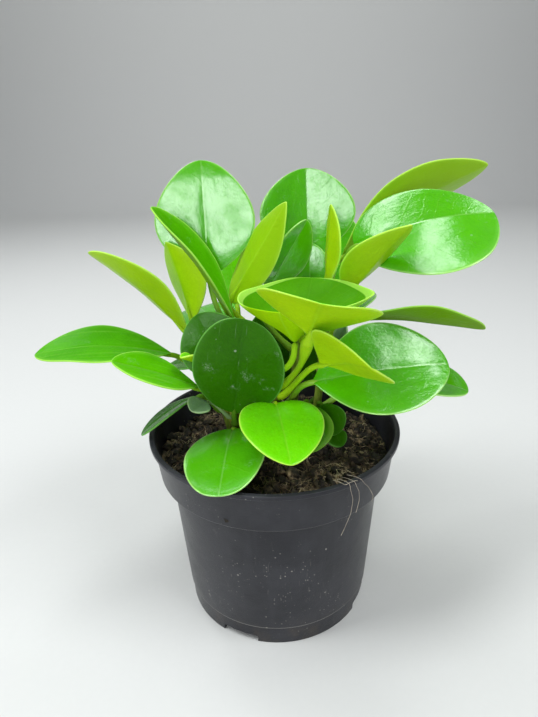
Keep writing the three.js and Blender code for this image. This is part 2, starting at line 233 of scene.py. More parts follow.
def speckMask(tree, vector, scale, size, amount):
    inputs = {"Vector": vector, "Scale": scale, "Size": size, "Amount": amount}
    return useGroup(tree, speckGroup, inputs)["Mask"]


def skinHeight(tree, vector, fine, broad, blend):
    inputs = {"Vector": vector, "Fine": fine, "Broad": broad, "Blend": blend}
    return useGroup(tree, reliefGroup, inputs)["Height"]


def bumpFrom(tree, height, distance, strength=1.0):
    inputs = {"Height": height, "Distance": distance, "Strength": strength}
    return addNode(tree, "ShaderNodeBump", inputs).outputs["Normal"]


# mesh helpers
def smoothStep(low, high, x):
    t = min(1.0, max(0.0, (x - low) / (high - low)))
    return t * t * (3 - 2 * t)


def meshFrom(name, bm):
    mesh = bpy.data.meshes.new(name)
    bm.to_mesh(mesh)
    bm.free()
    return mesh


def linkObject(name, data):
    made = bpy.data.objects.new(name, data)
    scene.collection.objects.link(made)
    return made


def finishedMesh(item):
    # the object's mesh with its modifiers or bevel applied; the object is then removed
    mesh = bpy.data.meshes.new_from_object(item.evaluated_get(bpy.context.evaluated_depsgraph_get()))
    bpy.data.objects.remove(item)
    return mesh


def addPiece(name, bm, materials, nodes=()):
    return placePiece(name, meshFrom(name, bm), materials, nodes)


def placePiece(name, mesh, materials, nodes=()):
    mesh.materials.clear()
    for material in materials:
        mesh.materials.append(material)
    piece = linkObject(name, mesh)
    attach(piece, "root")
    if nodes:
        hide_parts(*nodes)
    return piece


def shadeSmooth(bm):
    for face in bm.faces:
        face.smooth = True


def subdivide(piece, levels):
    modifier = piece.modifiers.new("smooth", "SUBSURF")
    modifier.levels = levels
    modifier.render_levels = levels


def linkedEdges(verts):
    # each edge once, in a fixed order
    return list(dict.fromkeys(edge for vert in verts for edge in vert.link_edges))


def ringPlaces(path, radii):
    # a place for each ring of a tube: across, over, along the path, and the point
    places = []
    side = None
    for i, point in enumerate(path):
        ahead = (path[min(i + 1, len(path) - 1)] - path[max(i - 1, 0)]).normalized()
        if side is None:
            side = ahead.orthogonal()
        side = (side - ahead * side.dot(ahead)).normalized()
        place = Matrix((side, ahead.cross(side), ahead)).transposed() * radii[i]
        places.append(Matrix.Translation(point) @ place.to_4x4())
    return places


def sweep(bm, path, radii, sides):
    # a closed tube: one ring of vertices, extruded and moved from place to place
    places = ringPlaces(path, radii)
    made = bmesh.ops.create_circle(bm, cap_ends=False, radius=1, segments=sides, matrix=places[0])
    ring = made["verts"]
    edges = linkedEdges(ring)
    rings = [ring]
    openEdges = list(edges)
    for before, after in zip(places, places[1:]):
        grown = bmesh.ops.extrude_edge_only(bm, edges=edges)["geom"]
        ring = [item for item in grown if isinstance(item, bmesh.types.BMVert)]
        edges = [item for item in grown if isinstance(item, bmesh.types.BMEdge) and item.is_boundary]
        bmesh.ops.transform(bm, matrix=after @ before.inverted(), verts=ring)
        rings.append(ring)
    bmesh.ops.holes_fill(bm, edges=openEdges + edges, sides=sides)
    faces = dict.fromkeys(face for ring in rings for vert in ring for face in vert.link_faces)
    bmesh.ops.recalc_face_normals(bm, faces=list(faces))
    return rings


def bezier(points, steps):
    a, b, c, d = points
    path = []
    for i in range(steps + 1):
        t = i / steps
        u = 1 - t
        path.append(a * u**3 + b * 3 * u * u * t + c * 3 * u * t * t + d * t**3)
    return path


def fromCurve(name, splines, radius):
    # many thin strands as one mesh; each spline is a list of (point, thickness)
    data = bpy.data.curves.new(name, "CURVE")
    data.dimensions = "3D"
    data.bevel_depth = radius
    data.bevel_resolution = 0
    data.use_fill_caps = True
    for points in splines:
        spline = data.splines.new("POLY")
        spline.points.add(len(points) - 1)
        for target, (point, thickness) in zip(spline.points, points):
            target.co = (*point, 1)
            target.radius = thickness
    return finishedMesh(linkObject(name, data))


# nursery pot
pot = {
    "rimRadius": 0.0600,
    "height": 0.0940,
    "rimHeight": 0.0020,
    "rimOverhang": 0.0018,
    "lipWidth": 0.0022,
    "wall": 0.0014,
    "collarDrop": 0.0200,
    "collarFootRadius": 0.0562,
    "shoulderDrop": 0.0030,
    "bodyTopRadius": 0.0511,
    "stepRadius": 0.0463,
    "stepHeight": 0.0096,
    "footRadius": 0.0458,
    "footWall": 0.0024,
    "floorHeight": 0.0040,
    "padRadius": 0.0130,
    "notchCount": 4,
    "notchWidth": 0.0180,
    "notchHeight": 0.0036,
    "notchTurn": 0.73,
    "notchRound": 0.0012,
    "holeCount": 8,
    "holeRadius": 0.0040,
    "holeCircle": 0.0300,
    "holeSides": 40,
    "spinSteps": 144,
    "edgeRound": 0.00035,
    "sharpAngle": 32,
    "black": (0.021, 0.021, 0.026),
    "greyBloom": (0.043, 0.043, 0.051),
    # pale dust; also the colour of the painted highlight lines along the pot's edges
    "dust": (0.42, 0.40, 0.36),
    "earth": (0.080, 0.062, 0.045),
}
pot["collarFootHeight"] = pot["height"] - pot["collarDrop"]
pot["shoulderHeight"] = pot["collarFootHeight"] - pot["shoulderDrop"]
pot["innerTop"] = pot["bodyTopRadius"] - pot["wall"]
pot["innerFoot"] = pot["stepRadius"] - pot["wall"]
pot["floorTop"] = pot["floorHeight"] + pot["wall"]


def potPlastic():
    material, tree, shader = newMaterial("potPlastic")
    coordinates = addNode(tree, "ShaderNodeTexCoord").outputs["Object"]
    bloom = cloudMask(tree, coordinates, 38.0, 0.34, 0.76)
    streaks = noiseAt(tree, stretched(tree, coordinates, (1, 1, 0.07)), 300.0, 3.0)
    streaks = mapped(tree, streaks, 0.46, 0.80)
    colour = mixed(tree, sums(tree, "MULTIPLY", bloom, 0.8), pot["black"], pot["greyBloom"])
    colour = mixed(tree, sums(tree, "MULTIPLY", streaks, 0.30), colour, pot["greyBloom"])
    # dried earth near the foot
    height = addNode(tree, "ShaderNodeSeparateXYZ", {"Vector": coordinates}).outputs["Z"]
    low = mapped(tree, height, 0.020, 0.0)
    earth = sums(tree, "MULTIPLY", low, cloudMask(tree, coordinates, 120.0, 0.44, 0.72))
    colour = mixed(tree, sums(tree, "MULTIPLY", earth, 0.45), colour, pot["earth"])
    # dust specks in loose groups, and faint scuffs
    groups = cloudMask(tree, coordinates, 34.0, 0.44, 0.62)
    large = speckMask(tree, coordinates, 330.0, 0.26, 0.07)
    small = speckMask(tree, coordinates, 1000.0, 0.40, 0.22)
    specks = sums(tree, "MAXIMUM", large, sums(tree, "MULTIPLY", small, groups))
    colour = mixed(tree, sums(tree, "MULTIPLY", specks, 0.60), colour, pot["dust"])
    scuffs = noiseAt(tree, stretched(tree, coordinates, (1, 1, 0.10)), 900.0, 2.0)
    scuffs = sums(tree, "MULTIPLY", mapped(tree, scuffs, 0.66, 0.74), groups)
    colour = mixed(tree, sums(tree, "MULTIPLY", scuffs, 0.14), colour, pot["dust"])
    # pale lines along the step above the foot and along the collar's lower edge: a painted highlight on
    # each edge, in the dust colour
    for edgeHeight, amount in ((pot["stepHeight"] + 0.0006, 0.34), (pot["collarFootHeight"], 0.11)):
        offEdge = sums(tree, "ABSOLUTE", sums(tree, "SUBTRACT", height, edgeHeight))
        paintedEdgeHighlight = sums(tree, "MULTIPLY", mapped(tree, offEdge, 0.0007, 0.0001), amount)
        colour = mixed(tree, paintedEdgeHighlight, colour, pot["dust"])
    rough = mapped(tree, bloom, 0.0, 1.0, 0.28, 0.38)
    rough = sums(tree, "MULTIPLY_ADD", specks, 0.3, rough)
    tree.links.new(colour, shader.inputs["Base Color"])
    tree.links.new(rough, shader.inputs["Roughness"])
    relief = skinHeight(tree, coordinates, 2400.0, 55.0, 0.80)
    tree.links.new(bumpFrom(tree, relief, 0.0006, 0.6), shader.inputs["Normal"])
    shader.inputs["Specular IOR Level"].default_value = 0.22
    return material


def potProfile():
    outside = [
        (0, 0), (pot["padRadius"], 0), (pot["padRadius"] + 0.001, pot["floorHeight"]),
        (pot["footRadius"] - pot["footWall"], pot["floorHeight"]),
        (pot["footRadius"] - pot["footWall"], 0), (pot["footRadius"], 0),
        (pot["stepRadius"] - 0.0002, pot["stepHeight"]),
        (pot["stepRadius"] + 0.0005, pot["stepHeight"] + 0.0005),
        (pot["bodyTopRadius"], pot["shoulderHeight"]),
        (pot["collarFootRadius"] - 0.0008, pot["collarFootHeight"] - 0.0004),
        (pot["collarFootRadius"], pot["collarFootHeight"] + 0.0005),
        (pot["rimRadius"] - pot["rimOverhang"], pot["height"] - pot["rimHeight"] - 0.0003),
        (pot["rimRadius"], pot["height"] - pot["rimHeight"]),
        (pot["rimRadius"], pot["height"]),
    ]
    inside = [
        (pot["rimRadius"] - pot["lipWidth"], pot["height"]),
        (pot["rimRadius"] - pot["rimOverhang"] - pot["wall"], pot["height"] - pot["rimHeight"]),
        (pot["collarFootRadius"] - pot["wall"], pot["collarFootHeight"] + 0.0005),
        (pot["innerTop"], pot["shoulderHeight"] + 0.0006),
        (pot["innerFoot"], pot["floorTop"] + 0.001), (pot["innerFoot"] - 0.001, pot["floorTop"]),
        (pot["padRadius"] - pot["wall"], pot["floorTop"]),
        (pot["padRadius"] - pot["wall"] - 0.001, pot["wall"]), (0, pot["wall"]),
    ]
    return outside + inside


def makePot():
    bm = bmesh.new()
    verts = [bm.verts.new((r, 0, z)) for r, z in potProfile()]
    edges = [bm.edges.new(pair) for pair in zip(verts, verts[1:])]
    bmesh.ops.spin(bm, geom=verts + edges, axis=(0, 0, 1), cent=(0, 0, 0), angle=2 * math.pi,
                   steps=pot["spinSteps"], use_merge=True)
    bmesh.ops.remove_doubles(bm, verts=bm.verts, dist=1e-5)
    bmesh.ops.recalc_face_normals(bm, faces=bm.faces)
    rings = [edge for edge in bm.edges if abs(edge.verts[0].co.z - edge.verts[1].co.z) < 1e-6]
    rings = [edge for edge in rings if len(edge.link_faces) == 2]
    rings = [edge for edge in rings if edge.calc_face_angle() > math.radians(15)]
    bmesh.ops.bevel(bm, geom=rings, offset=pot["edgeRound"], offset_type="OFFSET", segments=3,
                    profile=0.5, affect="EDGES", material=-1, clamp_overlap=True)
    # one cutter for each foot notch and drainage hole
    cutter = bmesh.new()
    for i in range(pot["notchCount"]):
        turn = Matrix.Rotation(2 * math.pi * (i + pot["notchTurn"]) / pot["notchCount"], 4, "Z")
        size = Matrix.Diagonal((4 * pot["footWall"], pot["notchWidth"], 2 * pot["notchHeight"], 1))
        place = Matrix.Translation((pot["footRadius"] - pot["footWall"], 0, 0))
        block = bmesh.ops.create_cube(cutter, size=1, matrix=turn @ place @ size)["verts"]
        corners = [edge for edge in linkedEdges(block) if min(v.co.z for v in edge.verts) > 0]
        corners = [edge for edge in corners if abs(edge.calc_length() - 4 * pot["footWall"]) < 1e-5]
        bmesh.ops.bevel(cutter, geom=corners, offset=pot["notchRound"], offset_type="OFFSET",
                        segments=4, profile=0.5, affect="EDGES", material=-1)
    for i in range(pot["holeCount"]):
        turn = Matrix.Rotation(2 * math.pi * (i + 0.5) / pot["holeCount"], 4, "Z")
        hole = Matrix.Translation((pot["holeCircle"], 0, pot["floorHeight"]))
        bmesh.ops.create_cone(cutter, cap_ends=True, segments=pot["holeSides"],
                              radius1=pot["holeRadius"], radius2=pot["holeRadius"],
                              depth=3 * pot["floorHeight"], matrix=turn @ hole)
    cutterObject = linkObject("potCutter", meshFrom("potCutter", cutter))
    shell = linkObject("potShell", meshFrom("potShell", bm))
    cut = shell.modifiers.new("cut", "BOOLEAN")
    cut.operation = "DIFFERENCE"
    cut.object = cutterObject
    mesh = finishedMesh(shell)
    bpy.data.objects.remove(cutterObject)
    mesh.shade_smooth()
    mesh.set_sharp_from_angle(angle=math.radians(pot["sharpAngle"]))
    placePiece("black_pot", mesh, [potPlastic()], ["nursery_pot"])


makePot()
print("pot made")


# potting soil
soil = {
    "centreHeight": 0.0830,
    "edgeHeight": 0.0790,
    "ripple": 0.0011,
    "clodHeight": 0.0021,
    "crumbHeight": 0.0008,
    "gap": 0.0003,
    "rings": 52,
    "spinSteps": 208,
    "crumbs": 2400,
    "crumbSize": (0.0005, 0.0030),
    "crumbStretch": (0.6, 1.3),
    "crumbRise": (-0.2, 0.7),
    "crumbDent": 0.25,
    "chips": 240,
    "chipLength": (0.002, 0.0065),
    "chipWidth": (0.15, 0.4),
    "chipDepth": (0.08, 0.2),
    "chipTilt": 0.5,
    "chipDent": 0.12,
    "chipLift": 0.0006,
    "fibres": 1600,
    "fibreRadius": 0.00014,
    "fibreKnots": 7,
    "fibreStep": (0.0006, 0.0022),
    "fibreLift": 0.0030,
    "coirFibre": ((0.16, 0.10, 0.048), (0.86, 0.70, 0.46)),
    "paleRoot": ((0.34, 0.28, 0.22), (0.58, 0.50, 0.40)),
    # dark soil; also the colour of the painted shade in the hollows
    "dark": (0.020, 0.015, 0.009),
    "brown": (0.520, 0.360, 0.200),
    "pale": (0.86, 0.72, 0.50),
    "seed": 5,
}


def soilHeight(x, y):
    reach = math.hypot(x, y) / pot["collarFootRadius"]
    level = soil["centreHeight"] + (soil["edgeHeight"] - soil["centreHeight"]) * reach * reach
    level += soil["ripple"] * math.sin(230 * x + 0.6) * math.cos(190 * y - 0.4)
    clods = noise.fractal(Vector((x * 110, y * 110, 3.7)), 0.8, 2.1, 3)
    crumbs = noise.fractal(Vector((x * 420, y * 420, 9.1)), 0.9, 2.0, 2)
    return level + soil["clodHeight"] * clods + soil["crumbHeight"] * crumbs


def soilMaterial(name, shift):
    material, tree, shader = newMaterial(name)
    coordinates = addNode(tree, "ShaderNodeTexCoord").outputs["Object"]
    tone = addNode(tree, "ShaderNodeAttribute", attribute_name="tone").outputs["Fac"]
    patches = cloudMask(tree, coordinates, 230.0, 0.36, 0.70)
    grain = noiseAt(tree, coordinates, 1300.0, 4.0, 0.7)
    clumps = cloudMask(tree, coordinates, 85.0, 0.46, 0.62)
    share = sums(tree, "MULTIPLY_ADD", patches, 0.5, sums(tree, "MULTIPLY", tone, 0.5))
    share = mapped(tree, share, 0.25, 0.80)
    share = sums(tree, "MULTIPLY", share, sums(tree, "MULTIPLY_ADD", clumps, 0.75, 0.25))
    colour = mixed(tree, share, soil["dark"], soil["brown"])
    # dark spots painted as the shade in the hollows between clods
    paintedHollowShade = mapped(tree, noiseAt(tree, coordinates, 420.0, 3.0, 0.6), 0.53, 0.42)
    colour = mixed(tree, sums(tree, "MULTIPLY", paintedHollowShade, 0.80), colour, soil["dark"])
    flecks = sums(tree, "MULTIPLY", mapped(tree, grain, 0.57 - shift, 0.80), share)
    colour = mixed(tree, flecks, colour, soil["pale"])
    tree.links.new(colour, shader.inputs["Base Color"])
    tree.links.new(mapped(tree, grain, 0.3, 0.7, 0.58, 0.92), shader.inputs["Roughness"])
    relief = skinHeight(tree, coordinates, 2200.0, 500.0, 0.5)
    tree.links.new(bumpFrom(tree, relief, 0.0007), shader.inputs["Normal"])
    return material


def fibreMaterial(name, dark, pale):
    material, tree, shader = newMaterial(name)
    coordinates = addNode(tree, "ShaderNodeTexCoord").outputs["Object"]
    change = cloudMask(tree, coordinates, 85.0, 0.42, 0.62)
    fine = noiseAt(tree, coordinates, 1800.0, 2.0)
    colour = mixed(tree, change, dark, pale)
    colour = mixed(tree, sums(tree, "MULTIPLY", mapped(tree, fine, 0.45, 0.75), 0.6), colour, dark)
    tree.links.new(colour, shader.inputs["Base Color"])
    tree.links.new(mapped(tree, fine, 0.3, 0.7, 0.5, 0.8), shader.inputs["Roughness"])
    tree.links.new(bumpFrom(tree, fine, 0.0001), shader.inputs["Normal"])
    return material


def soilEdgeRadius():
    spread = pot["rimRadius"] - pot["rimOverhang"] - pot["collarFootRadius"]
    slope = spread / (pot["collarDrop"] - pot["rimHeight"])
    above = soil["edgeHeight"] - pot["collarFootHeight"]
    return pot["collarFootRadius"] - pot["wall"] + slope * above


def makeSoil(material):
    gap = soil["gap"]
    edge = soilEdgeRadius() - 2 * gap
    profile = [
        (0, pot["floorTop"] + gap), (pot["innerFoot"] - 2 * gap - 0.001, pot["floorTop"] + gap),
        (pot["innerFoot"] - 2 * gap, pot["floorTop"] + 0.002),
        (pot["innerTop"] - 2 * gap, pot["shoulderHeight"] + 0.001),
        (pot["collarFootRadius"] - pot["wall"] - 2 * gap, pot["collarFootHeight"] + 0.0015),
        (edge, soil["edgeHeight"] - 0.002),
    ]
    profile += [(edge * (1 - i / soil["rings"]), soil["edgeHeight"]) for i in range(soil["rings"] + 1)]
    bm = bmesh.new()
    verts = [bm.verts.new((r, 0, z)) for r, z in profile]
    edges = [bm.edges.new(pair) for pair in zip(verts, verts[1:])]
    bmesh.ops.spin(bm, geom=verts + edges, axis=(0, 0, 1), cent=(0, 0, 0), angle=2 * math.pi,
                   steps=soil["spinSteps"], use_merge=True)
    bmesh.ops.remove_doubles(bm, verts=bm.verts, dist=1e-5)
    tone = bm.verts.layers.float.new("tone")
    for vert in bm.verts:
        if vert.co.z > soil["edgeHeight"] - 1e-5:
            vert.co.z = soilHeight(vert.co.x, vert.co.y)
            vert[tone] = 0.5 + 0.5 * noise.noise(vert.co * 300)
    bmesh.ops.recalc_face_normals(bm, faces=bm.faces)
    shadeSmooth(bm)
    addPiece("potting_mix", bm, [material], ["potting_soil"])


def soilSpot(draw):
    # a random place on the soil, evenly spread
    radius = (soilEdgeRadius() - 0.0012) * math.sqrt(draw.random())
    turn = draw.uniform(0, 2 * math.pi)
    x, y = radius * math.cos(turn), radius * math.sin(turn)
    return Vector((x, y, soilHeight(x, y)))


def randomTurn(draw):
    return Euler([draw.uniform(0, 2 * math.pi) for _ in range(3)]).to_matrix().to_4x4()


def dented(draw, most):
    return Vector([draw.uniform(-1, 1) * most for _ in range(3)])


def makeCrumbs(material):
    draw = Random(soil["seed"])
    bm = bmesh.new()
    tone = bm.verts.layers.float.new("tone")
    for i in range(soil["crumbs"]):
        small, large = soil["crumbSize"]
        size = small + (large - small) * draw.random() ** 2.5
        stretch = [size * draw.uniform(*soil["crumbStretch"]) for _ in range(3)]
        stretch = Matrix.Diagonal(stretch).to_4x4()
        spot = soilSpot(draw)
        place = Matrix.Translation(spot + Vector((0, 0, size * draw.uniform(*soil["crumbRise"]))))
        verts = bmesh.ops.create_icosphere(bm, subdivisions=1, radius=1,
                                           matrix=place @ randomTurn(draw) @ stretch)["verts"]
        value = draw.random() ** 1.5
        for vert in verts:
            vert.co += dented(draw, size * soil["crumbDent"])
            vert[tone] = value
    for i in range(soil["chips"]):
        length = draw.uniform(*soil["chipLength"])
        width = length * draw.uniform(*soil["chipWidth"])
        depth = length * draw.uniform(*soil["chipDepth"])
        shape = Matrix.Diagonal((length, width, depth, 1))
        lean = [draw.uniform(-soil["chipTilt"], soil["chipTilt"]) for _ in range(2)]
        tilt = Euler((*lean, draw.uniform(0, 6.28))).to_matrix().to_4x4()
        place = Matrix.Translation(soilSpot(draw) + Vector((0, 0, soil["chipLift"])))
        verts = bmesh.ops.create_cube(bm, size=1, matrix=place @ tilt @ shape)["verts"]
        value = draw.uniform(0.5, 1.0)
        for vert in verts:
            vert.co += dented(draw, length * soil["chipDent"])
            vert[tone] = value
    bmesh.ops.recalc_face_normals(bm, faces=bm.faces)
    addPiece("soil_crumbs", bm, [material])


def makeFibres(material):
    draw = Random(soil["seed"] + 1)
    strands = []
    for i in range(soil["fibres"]):
        point = soilSpot(draw)
        heading = draw.uniform(0, 2 * math.pi)
        bend = draw.uniform(-0.5, 0.5)
        step = draw.uniform(*soil["fibreStep"])
        lift = draw.random() ** 3 * soil["fibreLift"]
        thick = draw.uniform(0.5, 1.0) + 1.3 * draw.random() ** 4
        strand = []
        for k in range(soil["fibreKnots"]):
            x = point.x + math.cos(heading) * step * k
            y = point.y + math.sin(heading) * step * k
            heading += bend * 0.35 + draw.uniform(-0.25, 0.25)
            if math.hypot(x, y) > soilEdgeRadius() - 0.0014:
                break
            z = soilHeight(x, y) + 0.0004 + lift * math.sin(0.8 * math.pi * k / (soil["fibreKnots"] - 1))
            strand.append((Vector((x, y, z)), thick * (1 - 0.09 * k)))
        if len(strand) > 2:
            strands.append(strand)
    mesh = fromCurve("soil_fibres", strands, soil["fibreRadius"])
    placePiece("soil_fibres", mesh, [material])


# roots over the lip: for each, the turn round the pot in degrees and the height, from the lip down
rimRoots = {
    "long": ((-61.0, 0.0945), (-59.9, 0.0905), (-57.6, 0.0845), (-57.4, 0.0760), (-59.6, 0.0690),
             (-62.6, 0.0640)),
    "bent": ((-58.6, 0.0945), (-57.2, 0.0915), (-55.0, 0.0875), (-53.8, 0.0825), (-54.0, 0.0778),
             (-54.6, 0.0735)),
    "right": ((-55.6, 0.0945), (-52.6, 0.0905), (-49.6, 0.0872), (-46.0, 0.0820), (-43.8, 0.0785),
              (-44.4, 0.0740)),
    "lip": ((-63.0, 0.0944), (-60.4, 0.0949), (-58.2, 0.0947), (-56.2, 0.0936)),
}
rimRootShape = {
    "radius": 0.00010,
    "reachIn": 0.0060,
    "inwardStep": 0.0018,
    "turnIn": 1.5,
    "turnStep": 0.4,
    "dip": 0.0012,
    "lift": 0.0005,
    "steps": 5,
    "offWall": 0.0003,
    "offLip": 0.0004,
    "drawIn": 0.16,
}


def potOutside(z):
    # the pot's outer radius at a height, down to the collar's foot
    lipFoot = pot["height"] - pot["rimHeight"]
    if z > lipFoot:
        return pot["rimRadius"]
    low, high = pot["collarFootRadius"], pot["rimRadius"] - pot["rimOverhang"]
    share = max(0.0, (z - pot["collarFootHeight"]) / (lipFoot - pot["collarFootHeight"]))
    return low + (high - low) * share


def rimPoint(radius, turn, z):
    angle = math.radians(turn)
    return Vector((radius * math.cos(angle), radius * math.sin(angle), z))


def makeRimRoots(material):
    # pale roots that lie over the lip and hang beside the collar
    shape = rimRootShape
    strands = []
    for points in rimRoots.values():
        strand = []
        turn, z = points[0]
        if z > pot["height"]:
            # the part inside the rim
            for k in range(4):
                radius = pot["rimRadius"] - shape["reachIn"] + shape["inwardStep"] * k
                height = pot["height"] + shape["lift"] - shape["dip"] * (1 - k / 3) ** 2
                strand.append(rimPoint(radius, turn - shape["turnIn"] + shape["turnStep"] * k, height))
        for (turnA, zA), (turnB, zB) in zip(points, points[1:]):
            for k in range(shape["steps"]):
                t = k / shape["steps"]
                z = zA + (zB - zA) * t
                hang = pot["rimRadius"] + shape["offLip"] - shape["drawIn"] * (pot["height"] - z)
                radius = max(potOutside(z) + shape["offWall"], hang)
                strand.append(rimPoint(radius, turnA + (turnB - turnA) * t, z))
        smooth = [strand[0]]
        for before, here, after in zip(strand, strand[1:], strand[2:]):
            smooth.append((before + here * 2 + after) / 4)
        strands.append([(point, 1.0) for point in smooth])
    mesh = fromCurve("rim_fibres", strands, shape["radius"])
    placePiece("rim_fibres", mesh, [material])


soilDark = soilMaterial("soilMix", 0.0)
soilCrumb = soilMaterial("soilCrumb", 0.06)
makeSoil(soilDark)
makeCrumbs(soilCrumb)
makeFibres(fibreMaterial("coirFibre", *soil["coirFibre"]))
makeRimRoots(fibreMaterial("paleRoot", *soil["paleRoot"]))
print("soil made")


# stems: points from the foot in the soil to the growing end
stemShape = {
    "radius": 0.0022,
    "nodeSwell": 1.28,
    "nodeLength": 0.0022,
    "sides": 14,
    "ringGap": 0.0011,
    "slimShare": 0.92,
    "end": ((0.0012, 0.82), (0.0021, 0.5), (0.0025, 0.2)),
    "green": (0.16, 0.27, 0.022),
    "pale": (0.30, 0.40, 0.06),
    "flush": (0.17, 0.075, 0.022),
}
stems = {
    "front": ((0.003, -0.005, 0.070), (0.002, -0.007, 0.090), (0.001, -0.009, 0.119)),
    "left_front": ((-0.014, -0.002, 0.070), (-0.017, -0.004, 0.088), (-0.020, -0.004, 0.106)),
    "left": ((-0.018, 0.008, 0.070), (-0.024, 0.009, 0.095), (-0.028, 0.011, 0.125)),
    "middle": ((-0.004, 0.007, 0.070), (-0.006, 0.009, 0.100), (-0.009, 0.011, 0.136)),
    "back": ((0.007, 0.014, 0.070), (0.010, 0.019, 0.100), (0.015, 0.023, 0.139)),
    "right": ((0.018, 0.005, 0.070), (0.022, 0.009, 0.100), (0.026, 0.012, 0.138)),
    "low_right": ((0.014, -0.006, 0.070), (0.016, -0.007, 0.084), (0.017, -0.006, 0.104)),
    "rear_left": ((-0.012, 0.025, 0.070), (-0.015, 0.030, 0.092), (-0.018, 0.036, 0.119)),
    "rear_right": ((0.009, 0.029, 0.070), (0.012, 0.034, 0.092), (0.017, 0.041, 0.121)),
}


def stemPoint(name, z):
    # the smooth line through a stem's three points, at height z
    a, b, c = (Vector(point) for point in stems[name])
    wa = (z - b.z) * (z - c.z) / ((a.z - b.z) * (a.z - c.z))
    wb = (z - a.z) * (z - c.z) / ((b.z - a.z) * (b.z - c.z))
    wc = (z - a.z) * (z - b.z) / ((c.z - a.z) * (c.z - b.z))
    return a * wa + b * wb + c * wc


